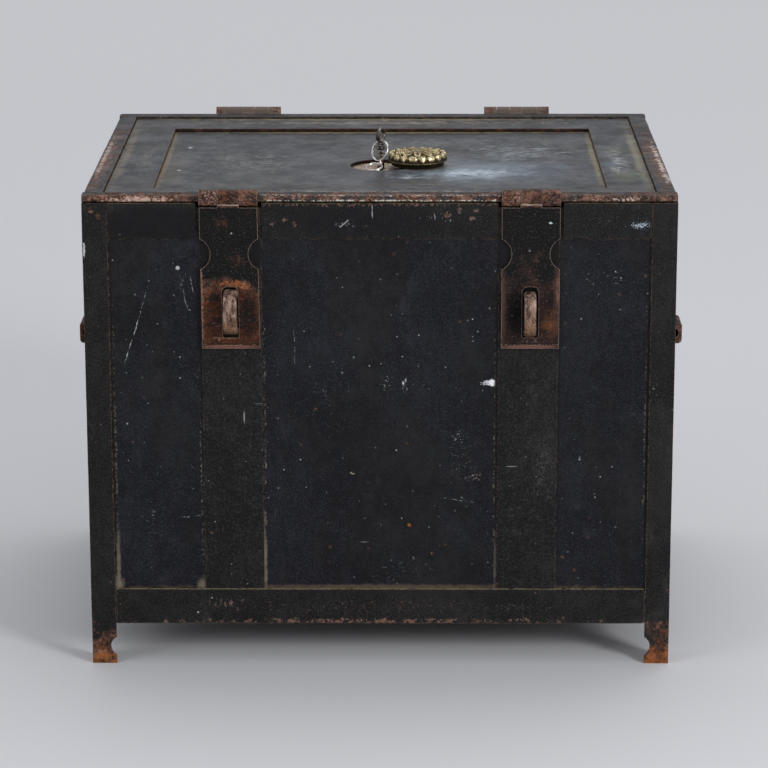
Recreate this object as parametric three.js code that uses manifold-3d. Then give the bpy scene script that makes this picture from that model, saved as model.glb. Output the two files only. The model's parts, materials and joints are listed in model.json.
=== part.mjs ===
// Iron strongbox: a riveted sheet-iron chest on four angle-iron corner posts, with a framed lid, two hasps
// over staples at the front, two butt hinges at the back, a bail handle at each end, and a key lock under
// the lid that throws four bolts below the rim of the chest.
//
// Millimetres, +Z up. While it is built, x runs across the front with 0 in the middle, y runs back from the
// front face and z runs up from the floor. At the end the whole chest is moved along y, to stand over its
// middle.
import * as THREE from "three";
import { mergeVertices } from "three/addons/utils/BufferGeometryUtils.js";
import Module from "manifold-3d";

const wasm = await Module();
wasm.setup();

// ---------------------------------------------------------------- driving dimensions

const GAP = 0.3; // left between pieces that touch
const WIDTH = 640;
const DEPTH = 506;
const LID_TOP = 530;
const SIDE = WIDTH / 2;

const FRAME = { width: 27, thick: 2.7 }; // angle irons and rails that stand proud of the plates
const PLATE = 3; // sheet of the chest
const PLATE_FACE = FRAME.thick + GAP; // how far the sheet lies behind the frame
const INNER_FACE = PLATE_FACE + PLATE;

const CHEST_TOP = 521.8;
const TOP_RAIL_BOTTOM = 483;
const CLEARANCE = 46.5; // free height under the chest
const BOTTOM_RAIL_TOP = 87;
const FOOT_NOTCH = { radius: 12.5, depth: 6.3, z: 20 };

const BORDER = { width: 21, bottom: 523, outer: 4, under: 2.5, inner: 1.5 };
const BACK_CORNER = 9;
const FLAT = { bottom: 523, top: 527, front: 57, back: 418, side: 247 };
const PANEL = { bottom: 519.4, top: 522.7, side: 311, front: 13, back: 493 };

const HASP = { x: 162.5, width: 62.5, front: -3.3, back: 0.7, top: 517.5, bottom: 362 };
const HASP_NOTCH = { radius: 18.6, depth: 10.6, z: 466.5 };
const HASP_SLOT = { width: 17.8, bottom: 374, top: 430.5, corner: 6, low: 2 };
const HASP_BARREL = { y: 3, z: 527, radius: 9, length: 63.4, middle: 23, bore: 3.8, pin: 3.4 };
const HASP_RECESS = { width: 64.8, depth: 16.5, web: 12.8 };
const STILE = { x: 160.5, width: 65, front: 1, top: 516.5 };
const RAIL_BREAK = { from: 127.5, to: 197.2 };
const STAPLE = { width: 14, bar: 7, bottom: 379, top: 427.5, reach: -20, bend: 14 };

const HINGE = { x: 164, y: 513.5, z: LID_TOP, radius: 6.8, length: 79.5, knuckles: 5, bore: 3, pin: 2.6 };
const KNUCKLE_GAP = 0.5;
const PIN_SHORT = 0.4; // how far a pin stops short of its barrel's ends
const HINGE_LEAF = { bottom: 486, thick: 3, top: 522.5 };

const KEY = { x: 0, y: 210 }; // axis of the keyhole and of the lock
const COVER = { x: 41.6, y: 212, radius: 34, bottom: 526.5, flange: 1.8, thick: 15, bore: 3.6 };
const COVER_PIN = { radius: 3.2, collar: 6, top: 531.8 };
const ESCUTCHEON = { radius: 45, seat: 34.5, bottom: 516.1, top: 519.1 };

const HANDLE = { y: DEPTH / 2, z: 341.5, out: 11, bar: 5.5, drop: 60, bend: 12, arm: 53, end: 77 };
const LUG = { inner: 66, outer: 103, out: 20.5, height: 24, bore: 5.9, corner: 4, plate: { past: 8, half: 17 } };

const RIM = { bottom: 509.5, top: 516.5, inner: 23 };
const LOCK = { half: 78, wall: 3, bottom: 497, top: 519.1 };
const CAM = { radius: 55, bottom: 509, top: 514, hub: 15, hubBottom: 500.4, hubTop: 515.8, slack: 0.45 };
const THROW = 12; // travel of each bolt in a quarter turn of the key
const BOLT = { width: 30, bottom: 503, top: 508, inner: 22, pin: 3.5, pinAt: 30, pinTop: 513.5, short: 26 };
const GUIDE = { long: 12, leg: 4, slack: 0.7, bottom: 499.5, strap: 2.9, fromTip: 40 };

const BOW = { z: 557.2, across: 10.5, up: 9.75, holeAcross: 6, holeUp: 5.3, thick: 4, turn: 20 };
const SHANK = 4;
const BIT = { reach: 12.5, thick: 3.4, bottom: 503, top: 515 };
const KEY_RING = { radius: 11.6, wire: 0.9, lean: 22 };
const LINK = { radius: 3.4, wire: 0.7 };
const SPARE_RING = { radius: 8.8, wire: 0.8, lean: 26 };

// ---------------------------------------------------------------- solids from three.js geometry

const ARC_STEPS = 5; // to a rounded corner of an outline
const BORE_SIDES = 12;

const UP = new THREE.Vector3(0, 0, 1);
const ALONG_X = new THREE.Matrix4().makeBasis(
  new THREE.Vector3(0, 1, 0),
  UP,
  new THREE.Vector3(1, 0, 0),
);

function solid(geometry) {
  const bare = new THREE.BufferGeometry();
  const flat = geometry.index ? geometry.toNonIndexed() : geometry;
  bare.setAttribute("position", flat.getAttribute("position"));
  const merged = mergeVertices(bare, 1e-4);
  return new wasm.Manifold(
    new wasm.Mesh({
      numProp: 3,
      vertProperties: merged.attributes.position.array,
      triVerts: new Uint32Array(merged.index.array),
    }),
  );
}

const join = (first, ...others) => others.reduce((whole, other) => whole.add(other), first);
const cut = (first, ...others) => others.reduce((whole, other) => whole.subtract(other), first);

function block([x0, x1], [y0, y1], [z0, z1]) {
  const geometry = new THREE.BoxGeometry(x1 - x0, y1 - y0, z1 - z0);
  return solid(geometry.translate((x0 + x1) / 2, (y0 + y1) / 2, (z0 + z1) / 2));
}

function rod(axis, radius, [from, to], [a, b], sides = 24) {
  const geometry = new THREE.CylinderGeometry(radius, radius, to - from, sides);
  const middle = (from + to) / 2;
  if (axis === "x") geometry.rotateZ(Math.PI / 2).translate(middle, a, b);
  if (axis === "y") geometry.translate(a, middle, b);
  if (axis === "z") geometry.rotateX(Math.PI / 2).translate(a, b, middle);
  return solid(geometry);
}

// An outline drawn in (y, z) and drawn out along x, or in (x, y) and drawn up along z.
function drawn(axis, outline, [from, to]) {
  const options = { depth: to - from, bevelEnabled: false, curveSegments: ARC_STEPS };
  const geometry = new THREE.ExtrudeGeometry(outline, options).translate(0, 0, from);
  return solid(axis === "x" ? geometry.applyMatrix4(ALONG_X) : geometry);
}

// An outline drawn in (x, z) and drawn out along y.
function alongY(outline, [from, to]) {
  const options = { depth: to - from, bevelEnabled: false, curveSegments: ARC_STEPS };
  return solid(new THREE.ExtrudeGeometry(outline, options).rotateX(Math.PI / 2).translate(0, to, 0));
}

// A rectangle whose corners are rounded by the radii given from the lower left one on, anticlockwise.
function roundedRect(x0, x1, y0, y1, radii) {
  const [ll, lr, ur, ul] = radii;
  const shape = new THREE.Shape();
  shape.moveTo(x0 + ll, y0);
  shape.lineTo(x1 - lr, y0);
  if (lr) shape.absarc(x1 - lr, y0 + lr, lr, -Math.PI / 2, 0);
  shape.lineTo(x1, y1 - ur);
  if (ur) shape.absarc(x1 - ur, y1 - ur, ur, 0, Math.PI / 2);
  shape.lineTo(x0 + ul, y1);
  if (ul) shape.absarc(x0 + ul, y1 - ul, ul, Math.PI / 2, Math.PI);
  shape.lineTo(x0, y0 + ll);
  if (ll) shape.absarc(x0 + ll, y0 + ll, ll, Math.PI, Math.PI * 1.5);
  return shape;
}

function lathe(profile, sides, [x, y]) {
  const points = profile.map(([radius, height]) => new THREE.Vector2(radius, height));
  const geometry = new THREE.LatheGeometry(points, sides).rotateX(Math.PI / 2);
  return solid(geometry.translate(x, y, 0));
}

function torus(radius, wire, frame) {
  return solid(new THREE.TorusGeometry(radius, wire, 6, 22).applyMatrix4(frame));
}

// ---------------------------------------------------------------- materials and nodes

const material = (color, roughness, metalness) =>
  new THREE.MeshStandardMaterial({ color, roughness, metalness, side: THREE.FrontSide });

const framePaint = material(0x23262a, 0.6, 0.3);
const panelPaint = material(0x1d2129, 0.55, 0.3);
const lidPaint = material(0x4a5057, 0.5, 0.3);
const rustyIron = material(0x5a4338, 0.75, 0.5);
const wornIron = material(0x7a6a60, 0.5, 0.8);
const keyIron = material(0x3b3836, 0.45, 0.9);
const brightSteel = material(0xc8c8c8, 0.25, 1);
const brass = material(0x8a7440, 0.35, 1);
const lockSteel = material(0x6a6a68, 0.45, 0.9);
const innerPaint = material(0x3a2f2a, 0.7, 0.2);

const chest = new THREE.Group();

function piece(name, shape, finish) {
  const made = shape.getMesh();
  const geometry = new THREE.BufferGeometry();
  geometry.setAttribute("position", new THREE.BufferAttribute(made.vertProperties, 3));
  geometry.setIndex(new THREE.BufferAttribute(made.triVerts, 1));
  const faceted = geometry.toNonIndexed();
  faceted.computeVertexNormals();
  const mesh = new THREE.Mesh(faceted, finish);
  mesh.name = name;
  chest.add(mesh);
}

const ENDS = [
  ["left", -1],
  ["right", 1],
];

// The two values in rising order, mirrored to the side that sign gives.
const span = (sign, a, b) => [sign * a, sign * b].sort((p, q) => p - q);
const fromBack = (a, b) => [DEPTH - b, DEPTH - a];

// ---------------------------------------------------------------- chest

// One angle iron: a leg along the front or back face and a leg along the side, notched above the toe of its
// foot.
function cornerPost(sign, isBack) {
  const place = isBack ? fromBack : (a, b) => [a, b];
  const height = [0, CHEST_TOP];
  const faceLeg = block(span(sign, SIDE - FRAME.width, SIDE), place(0, FRAME.thick), height);
  const sideLeg = block(span(sign, SIDE - FRAME.thick, SIDE), place(0, FRAME.width), height);
  const notchAt = FRAME.width + FOOT_NOTCH.radius - FOOT_NOTCH.depth;
  const notchY = isBack ? DEPTH - notchAt : notchAt;
  const reach = [-1, FRAME.width * 2];
  const faceNotch = rod("y", FOOT_NOTCH.radius, place(...reach), [sign * (SIDE - notchAt), FOOT_NOTCH.z]);
  const sideNotch = rod("x", FOOT_NOTCH.radius, span(sign, SIDE - 5, SIDE + 1), [notchY, FOOT_NOTCH.z]);
  return cut(join(faceLeg, sideLeg), faceNotch, sideNotch);
}

for (const [end, sign] of ENDS) {
  piece(`corner_post_front_${end}`, cornerPost(sign, false), framePaint);
  piece(`corner_post_back_${end}`, cornerPost(sign, true), framePaint);
}

const FACE = [0, FRAME.thick];
const BETWEEN_POSTS = SIDE - FRAME.width - GAP;
const TOP_RAIL = [TOP_RAIL_BOTTOM, CHEST_TOP];
const BOTTOM_RAIL = [CLEARANCE, BOTTOM_RAIL_TOP];
const ALONG_SIDE = [FRAME.width + GAP, DEPTH - FRAME.width - GAP];

for (const [end, sign] of ENDS) {
  const outside = span(sign, SIDE - FRAME.thick, SIDE);
  const besideHasp = span(sign, RAIL_BREAK.to, BETWEEN_POSTS);
  piece(`front_top_rail_${end}`, block(besideHasp, FACE, TOP_RAIL), framePaint);
  piece(`${end}_top_rail`, block(outside, ALONG_SIDE, TOP_RAIL), framePaint);
  piece(`${end}_bottom_rail`, block(outside, ALONG_SIDE, BOTTOM_RAIL), framePaint);
}
const acrossFace = [-BETWEEN_POSTS, BETWEEN_POSTS];
const BACK_FACE = fromBack(...FACE);
piece("front_top_rail_middle", block([-RAIL_BREAK.from, RAIL_BREAK.from], FACE, TOP_RAIL), framePaint);
piece("front_bottom_rail", block(acrossFace, FACE, BOTTOM_RAIL), framePaint);
piece("back_top_rail", block(acrossFace, BACK_FACE, TOP_RAIL), framePaint);
piece("back_bottom_rail", block(acrossFace, BACK_FACE, BOTTOM_RAIL), framePaint);

// Upright flats behind the hasps. The front plate is cut away with them at the top, where the hasps' barrels
// turn.
for (const [end, sign] of ENDS) {
  const across = span(sign, STILE.x - STILE.width / 2, STILE.x + STILE.width / 2);
  const flat = block(across, [STILE.front, FRAME.thick], [BOTTOM_RAIL_TOP + GAP, STILE.top]);
  piece(`front_stile_${end}`, flat, framePaint);
}

const PLATE_HEIGHT = [CLEARANCE, CHEST_TOP - GAP];
const ACROSS = span(1, -(SIDE - PLATE_FACE), SIDE - PLATE_FACE);
const barrelCutaway = (sign) =>
  block(span(sign, RAIL_BREAK.from, RAIL_BREAK.to), [0, INNER_FACE + 1], [STILE.top, CHEST_TOP + 1]);
const frontPlate = block(ACROSS, [PLATE_FACE, INNER_FACE], PLATE_HEIGHT);
piece("front_plate", cut(frontPlate, barrelCutaway(-1), barrelCutaway(1)), panelPaint);
piece("back_plate", block(ACROSS, fromBack(PLATE_FACE, INNER_FACE), PLATE_HEIGHT), panelPaint);

const INSIDE_Y = [INNER_FACE + GAP, DEPTH - INNER_FACE - GAP];
for (const [end, sign] of ENDS) {
  const sheet = block(span(sign, SIDE - INNER_FACE, SIDE - PLATE_FACE), INSIDE_Y, PLATE_HEIGHT);
  piece(`${end}_plate`, sheet, panelPaint);
}
const insideX = SIDE - INNER_FACE - GAP;
const floorBottom = CLEARANCE + PLATE / 2;
piece("bottom_plate", block([-insideX, insideX], INSIDE_Y, [floorBottom, floorBottom + PLATE]), innerPaint);

// Flat bars round the mouth, inside the plates. The bolts catch under them.
function rim() {
  const opening = [RIM.bottom - 1, RIM.top + 1];
  const whole = block([-insideX, insideX], INSIDE_Y, [RIM.bottom, RIM.top]);
  const mouth = block([RIM.inner - SIDE, SIDE - RIM.inner], [RIM.inner, DEPTH - RIM.inner], opening);
  return cut(whole, mouth);
}
piece("inner_rim", rim(), innerPaint);

// ---------------------------------------------------------------- hasps and staples

// A flat bar bent into an arch, standing on the stile: the padlock's shackle goes through it.
function staple(x) {
  const foot = STILE.front - GAP;
  const { bend, bar, reach, bottom, top } = STAPLE;
  const arch = roundedRect(reach, foot, bottom, top, [bend, 0, 0, bend]);
  const inner = bend - bar;
  const eye = roundedRect(reach + bar, foot + 1, bottom + bar, top - bar, [inner, 0, 0, inner]);
  const across = [x - STAPLE.width / 2, x + STAPLE.width / 2];
  return cut(drawn("x", arch, across), drawn("x", eye, [across[0] - 1, across[1] + 1]));
}

const barrelAxis = [HASP_BARREL.y, HASP_BARREL.z];

// Plate with a half-moon notch in each edge and a slot for the staple, its tongue rolled round the pin.
function hasp(x) {
  const half = HASP.width / 2;
  const thick = [HASP.front, HASP.back];
  const plate = block([x - half, x + half], thick, [HASP.bottom, HASP.top]);
  const tongueHalf = HASP_BARREL.middle / 2;
  const tongueSpan = [x - tongueHalf, x + tongueHalf];
  const tongue = block(tongueSpan, thick, [HASP.top - 1, HASP_BARREL.z]);
  const barrel = rod("x", HASP_BARREL.radius, tongueSpan, barrelAxis);
  const bore = rod("x", HASP_BARREL.bore, [x - half, x + half], barrelAxis, BORE_SIDES);
  const notches = [-1, 1].map((sign) => {
    const centre = x + sign * (half + HASP_NOTCH.radius - HASP_NOTCH.depth);
    return rod("y", HASP_NOTCH.radius, [thick[0] - 1, thick[1] + 1], [centre, HASP_NOTCH.z], 40);
  });
  const slotHalf = HASP_SLOT.width / 2;
  const { corner, low, bottom, top } = HASP_SLOT;
  const slotShape = roundedRect(x - slotHalf, x + slotHalf, bottom, top, [low, low, corner, corner]);
  const slot = alongY(slotShape, [thick[0] - 1, thick[1] + 1]);
  return cut(join(plate, tongue, barrel), bore, slot, ...notches);
}

// The lid's half of a hasp hinge: two knuckles joined by a web that fills the recess in the lid's border.
function haspLeaf(x) {
  const halfBarrel = HASP_BARREL.length / 2;
  const inner = HASP_BARREL.middle / 2 + KNUCKLE_GAP;
  const back = HASP_RECESS.depth - GAP;
  const height = [BORDER.bottom, LID_TOP - 0.5];
  const knuckles = [-1, 1].map((sign) => {
    const along = span(1, x + sign * inner, x + sign * halfBarrel);
    const arm = block(along, [HASP_BARREL.y, back], height);
    return join(rod("x", HASP_BARREL.radius, along, barrelAxis), arm);
  });
  const web = block([x - halfBarrel, x + halfBarrel], [HASP_RECESS.web, back], height);
  const bore = rod("x", HASP_BARREL.bore, [x - halfBarrel - 1, x + halfBarrel + 1], barrelAxis, BORE_SIDES);
  return cut(join(web, ...knuckles), bore);
}

for (const [end, sign] of ENDS) {
  const x = sign * HASP.x;
  const pinHalf = HASP_BARREL.length / 2 - PIN_SHORT;
  piece(`staple_${end}`, staple(sign * (HASP.x - 0.5)), wornIron);
  piece(`hasp_${end}`, hasp(x), rustyIron);
  piece(`hasp_hinge_leaf_${end}`, haspLeaf(x), rustyIron);
  const pin = rod("x", HASP_BARREL.pin, [x - pinHalf, x + pinHalf], barrelAxis, BORE_SIDES);
  piece(`hasp_pin_${end}`, pin, wornIron);
}

// ---------------------------------------------------------------- lid

const plan = roundedRect(-SIDE, SIDE, 0, DEPTH, [3, 3, BACK_CORNER, BACK_CORNER]);
const lidOutline = drawn("z", plan, [BORDER.bottom - 1, LID_TOP + 1]);

// Section of the border bar: rounded outside above and below, and eased at its inner top edge.
const borderSection = (outer, inner) => {
  const { outer: big, under, inner: small, bottom } = BORDER;
  return outer < inner
    ? roundedRect(outer, inner, bottom, LID_TOP, [under, 0, small, big])
    : roundedRect(inner, outer, bottom, LID_TOP, [0, under, big, small]);
};

function borderFront() {
  const bar = drawn("x", borderSection(0, BORDER.width), [-SIDE, SIDE]);
  const recesses = [-1, 1].map((sign) => {
    const half = HASP_RECESS.width / 2;
    const across = [sign * HASP.x - half, sign * HASP.x + half];
    return block(across, [-1, HASP_RECESS.depth], [BORDER.bottom - 1, LID_TOP + 1]);
  });
  return cut(bar.intersect(lidOutline), ...recesses);
}

// Where each knuckle of a back hinge starts and ends. Even ones belong to the chest, odd ones to the lid.
function knuckleSpans(x, parity) {
  const pitch = HINGE.length / HINGE.knuckles;
  const start = x - HINGE.length / 2;
  const all = Array.from({ length: HINGE.knuckles }, (_, i) => [
    start + i * pitch + KNUCKLE_GAP / 2,
    start + (i + 1) * pitch - KNUCKLE_GAP / 2,
  ]);
  return all.filter((_, i) => i % 2 === parity);
}

const hingeAxis = [HINGE.y, HINGE.z];
const hingeBore = (x) => rod("x", HINGE.bore, [x - HINGE.length, x + HINGE.length], hingeAxis, BORE_SIDES);
const knuckle = (along) => rod("x", HINGE.radius, along, hingeAxis, 20);

function borderBack() {
  const bar = drawn("x", borderSection(DEPTH, DEPTH - BORDER.width), [-SIDE, SIDE]).intersect(lidOutline);
  const spans = ENDS.flatMap(([, sign]) => knuckleSpans(sign * HINGE.x, 1));
  const arms = spans.map((along) => {
    const arm = block(along, [DEPTH - BORDER.width / 2, HINGE.y], [LID_TOP - 4, LID_TOP]);
    return join(knuckle(along), arm);
  });
  return cut(join(bar, ...arms), hingeBore(-HINGE.x), hingeBore(HINGE.x));
}

// The chest's half of a back hinge: a leaf on the outside of the back, rolled into three knuckles.
function hingeLeaf(x) {
  const face = [DEPTH + GAP, DEPTH + GAP + HINGE_LEAF.thick];
  const half = HINGE.length / 2;
  const leaf = block([x - half, x + half], face, [HINGE_LEAF.bottom, HINGE_LEAF.top]);
  const rolls = knuckleSpans(x, 0).map((along) =>
    join(knuckle(along), block(along, face, [HINGE_LEAF.top - 1, HINGE.z])),
  );
  return cut(join(leaf, ...rolls), hingeBore(x));
}

piece("lid_border_front", borderFront(), framePaint);
piece("lid_border_back", borderBack(), framePaint);
const BETWEEN_BORDERS = [BORDER.width + GAP, DEPTH - BORDER.width - GAP];
for (const [end, sign] of ENDS) {
  const { under, outer, inner } = BORDER;
  const radii = sign > 0 ? [0, under, outer, inner] : [under, 0, inner, outer];
  const across = span(sign, SIDE - BORDER.width, SIDE);
  const section = roundedRect(...across, BORDER.bottom, LID_TOP, radii);
  piece(`lid_border_${end}`, alongY(section, BETWEEN_BORDERS), framePaint);

  const pinHalf = HINGE.length / 2 - PIN_SHORT;
  const x = sign * HINGE.x;
  const pin = rod("x", HINGE.pin, [x - pinHalf, x + pinHalf], hingeAxis, BORE_SIDES);
  piece(`hinge_leaf_${end}`, hingeLeaf(x), rustyIron);
  piece(`hinge_pin_${end}`, pin, wornIron);
}

const flatHeight = [FLAT.bottom, FLAT.top];
const flatSide = SIDE - BORDER.width - GAP;
const acrossLid = [-flatSide, flatSide];
piece("lid_flat_front", block(acrossLid, [BETWEEN_BORDERS[0], FLAT.front], flatHeight), lidPaint);
piece("lid_flat_back", block(acrossLid, [FLAT.back, BETWEEN_BORDERS[1]], flatHeight), lidPaint);
for (const [end, sign] of ENDS) {
  const across = span(sign, FLAT.side, flatSide);
  piece(`lid_flat_${end}`, block(across, [FLAT.front + GAP, FLAT.back - GAP], flatHeight), lidPaint);
}

// ---------------------------------------------------------------- lock

// The four ways a bolt runs: its name, the angle it points at, and how far its tip is from the lock's axis at
// rest.
const BOLTS = [
  { name: "right", angle: 0, tip: SIDE - BOLT.short - KEY.x },
  { name: "back", angle: Math.PI / 2, tip: DEPTH - BOLT.short - KEY.y },
  { name: "left", angle: Math.PI, tip: SIDE - BOLT.short + KEY.x },
  { name: "front", angle: -Math.PI / 2, tip: KEY.y - BOLT.short },
];

// Turns a solid built round the origin, pointing along +x, to the way that a bolt runs.
const turned = (shape, angle) => shape.rotate([0, 0, THREE.MathUtils.radToDeg(angle)]);
const aimed = (shape, angle) => turned(shape, angle).translate([KEY.x, KEY.y, 0]);

function bolt({ angle, tip }) {
  const half = BOLT.width / 2;
  const bar = block([BOLT.inner, tip], [-half, half], [BOLT.bottom, BOLT.top]);
  const pin = rod("z", BOLT.pin, [BOLT.top - 1, BOLT.pinTop], [BOLT.pinAt, 0], BORE_SIDES);
  return aimed(join(bar, pin), angle);
}

// A strap under the lid that carries one bolt near its tip.
function guide({ angle, tip }) {
  const { long, leg, slack, bottom, strap, fromTip } = GUIDE;
  const at = [tip - fromTip - long, tip - fromTip];
  const half = BOLT.width / 2 + slack;
  const outside = block(at, [-half - leg, half + leg], [bottom, PANEL.bottom + 1]);
  const channel = block([at[0] - 1, at[1] + 1], [-half, half], [bottom + strap, PANEL.bottom]);
  return aimed(cut(outside, channel), angle);
}

const lidPanel = block([-PANEL.side, PANEL.side], [PANEL.front, PANEL.back], [PANEL.bottom, PANEL.top]);
const seat = rod("z", ESCUTCHEON.seat, [PANEL.bottom - 1, PANEL.top + 1], [KEY.x, KEY.y], 40);
piece("lid_panel", cut(join(lidPanel, ...BOLTS.map(guide)), seat), panelPaint);

function lockCase() {
  const { half, wall, bottom, top } = LOCK;
  const room = half - wall;
  const tray = block([-half, half], [-half, half], [bottom, top]);
  const hollow = block([-room, room], [-room, room], [bottom + wall, top + 1]);
  const doorHalf = BOLT.width / 2 + GUIDE.slack;
  const doors = BOLTS.map(({ angle }) => {
    const height = [BOLT.bottom - GUIDE.slack, BOLT.top + GUIDE.slack];
    return turned(block([room - 1, half + 1], [-doorHalf, doorHalf], height), angle);
  });
  return cut(tray, hollow, ...doors).translate([KEY.x, KEY.y, 0]);
}
piece("lock_case", lockCase(), lockSteel);

// Keyhole: a round hole with a slot towards the front for the bit.
function keyhole(radius, slotHalf, reach, height) {
  const round = rod("z", radius, height, [KEY.x, KEY.y], 24);
  return join(round, block([KEY.x - slotHalf, KEY.x + slotHalf], [KEY.y - reach, KEY.y], height));
}
const through = [ESCUTCHEON.bottom - 1, ESCUTCHEON.top + 1];
const escutcheon = rod("z", ESCUTCHEON.radius, [ESCUTCHEON.bottom, ESCUTCHEON.top], [KEY.x, KEY.y], 32);
const hole = keyhole(SHANK + 1, BIT.thick / 2 + 0.7, BIT.reach + 1.5, through);
piece("escutcheon", cut(escutcheon, hole), rustyIron);

// One slot of the cam: its middle line moves out by the bolts' throw over a quarter turn, so that a turn of
// the key drives each bolt in proportion.
function camSlot(start) {
  const steps = 8;
  const half = BOLT.pin + CAM.slack;
  const line = (offset) =>
    Array.from({ length: steps + 1 }, (_, i) => {
      const turn = i / steps;
      const angle = start + (turn * Math.PI) / 2;
      const radius = BOLT.pinAt + THROW * turn + offset;
      return new THREE.Vector2(radius * Math.cos(angle), radius * Math.sin(angle));
    });
  const outline = new THREE.Shape([...line(-half), ...line(half).reverse()].reverse());
  const height = [CAM.bottom - 1, CAM.top + 1];
  const slot = drawn("z", outline, height);
  const stops = [0, 1].map((turn) => {
    const angle = start + (turn * Math.PI) / 2;
    const radius = BOLT.pinAt + THROW * turn;
    const end = [radius * Math.cos(angle), radius * Math.sin(angle)];
    return rod("z", half, height, end, BORE_SIDES);
  });
  return join(slot, ...stops).translate([KEY.x, KEY.y, 0]);
}

function cam() {
  const disc = rod("z", CAM.radius, [CAM.bottom, CAM.top], [KEY.x, KEY.y], 36);
  const hub = rod("z", CAM.hub, [CAM.hubBottom, CAM.hubTop], [KEY.x, KEY.y], 20);
  const { slack } = CAM;
  const height = [CAM.hubBottom - 1, CAM.hubTop + 1];
  const socket = keyhole(SHANK + slack, BIT.thick / 2 + slack, BIT.reach + slack, height);
  return cut(join(disc, hub), socket, ...BOLTS.map(({ angle }) => camSlot(angle)));
}
piece("lock_cam", cam(), lockSteel);

for (const way of BOLTS) piece(`bolt_${way.name}`, bolt(way), lockSteel);

// ---------------------------------------------------------------- key, its rings and the keyhole cover

const radians = THREE.MathUtils.degToRad;

// Directions in plan: through the hole of the bow, and square to it towards the front.
const throughBow = new THREE.Vector3(Math.cos(radians(BOW.turn)), -Math.sin(radians(BOW.turn)), 0);
const toFront = new THREE.Vector3(-Math.sin(radians(BOW.turn)), -Math.cos(radians(BOW.turn)), 0);

function key() {
  const shank = [
    [0, BIT.bottom - 2],
    [SHANK, BIT.bottom - 1],
    [SHANK, 534],
    [5.2, 535],
    [5.2, 537],
    [SHANK, 538],
    [SHANK, 541],
    [5.6, 542.5],
    [5.6, 544.5],
    [3.2, 546],
    [3.2, 549],
    [0, 549.5],
  ];
  const across = [KEY.x - BIT.thick / 2, KEY.x + BIT.thick / 2];
  const bit = block(across, [KEY.y - BIT.reach, KEY.y], [BIT.bottom, BIT.top]);
  const outline = new THREE.Shape().absellipse(0, 0, BOW.across, BOW.up, 0, Math.PI * 2);
  outline.holes.push(new THREE.Path().absellipse(0, 0, BOW.holeAcross, BOW.holeUp, 0, Math.PI * 2));
  const options = { depth: BOW.thick, bevelEnabled: false, curveSegments: 10 };
  const frame = new THREE.Matrix4().makeBasis(toFront, UP, throughBow.clone().negate());
  frame.setPosition(new THREE.Vector3(KEY.x, KEY.y, BOW.z));
  const ring = new THREE.ExtrudeGeometry(outline, options).translate(0, 0, -BOW.thick / 2);
  return join(lathe(shank, 14, [KEY.x, KEY.y]), bit, solid(ring.applyMatrix4(frame)));
}
piece("key", key(), keyIron);

// A ring hung from a point: it holds the line through the bow, and its other side lies where the slope
// points.
function hungRing({ radius, wire }, hook, slope) {
  const centre = hook.clone().addScaledVector(slope, radius);
  const facing = new THREE.Vector3().crossVectors(throughBow, slope);
  const frame = new THREE.Matrix4().makeBasis(throughBow, slope, facing);
  return torus(radius, wire, frame.setPosition(centre));
}

const hookZ = BOW.z - BOW.holeUp + KEY_RING.wire + 0.2;
const hook = new THREE.Vector3(KEY.x, KEY.y, hookZ);
const leaning = (degrees) => {
  const tilt = radians(degrees);
  return toFront.clone().multiplyScalar(Math.sin(tilt)).addScaledVector(UP, -Math.cos(tilt));
};
const ringSlope = leaning(KEY_RING.lean);
piece("key_ring", hungRing(KEY_RING, hook, ringSlope), brightSteel);

const slack = 0.15;
const ringFoot = hook.clone().addScaledVector(ringSlope, 2 * KEY_RING.radius);
const linkLow = LINK.radius - LINK.wire - KEY_RING.wire - slack;
const linkCentre = ringFoot.clone().addScaledVector(UP, -linkLow);
const linkFrame = new THREE.Matrix4().makeBasis(toFront, UP, throughBow.clone().negate());
piece("ring_link", torus(LINK.radius, LINK.wire, linkFrame.setPosition(linkCentre)), brightSteel);

const spareLow = LINK.radius - LINK.wire - SPARE_RING.wire - slack;
const spareHook = linkCentre.clone().addScaledVector(UP, -spareLow);
const spareSlope = leaning(90 - SPARE_RING.lean);
piece("spare_ring", hungRing(SPARE_RING, spareHook, spareSlope), brightSteel);

const pivot = [(KEY.x + COVER.x) / 2, (KEY.y + COVER.y) / 2];
const pivotPin = [
  [0, ESCUTCHEON.top + GAP],
  [COVER_PIN.collar, ESCUTCHEON.top + GAP],
  [COVER_PIN.collar, COVER.bottom - 0.4],
  [COVER_PIN.radius, COVER.bottom - 0.4],
  [COVER_PIN.radius, COVER_PIN.top],
  [0, COVER_PIN.top],
];
piece("cover_pin", lathe(pivotPin, 16, pivot), wornIron);

function cover() {
  const { radius, bottom, flange, thick } = COVER;
  const profile = [
    [0, bottom],
    [radius, bottom],
    [radius, bottom + flange],
    [radius - 2.6, bottom + flange + 0.4],
    [radius - 3, bottom + 8],
    [radius - 6, bottom + 10],
    [18, bottom + 11.2],
    [9, bottom + 12.4],
    [6, bottom + 14.6],
    [0, bottom + thick],
  ];
  const bore = rod("z", COVER.bore, [bottom - 1, COVER_PIN.top + 0.5], pivot, BORE_SIDES);
  return cut(lathe(profile, 32, [COVER.x, COVER.y]), bore);
}
piece("keyhole_cover", cover(), brass);

// ---------------------------------------------------------------- handles

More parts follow.
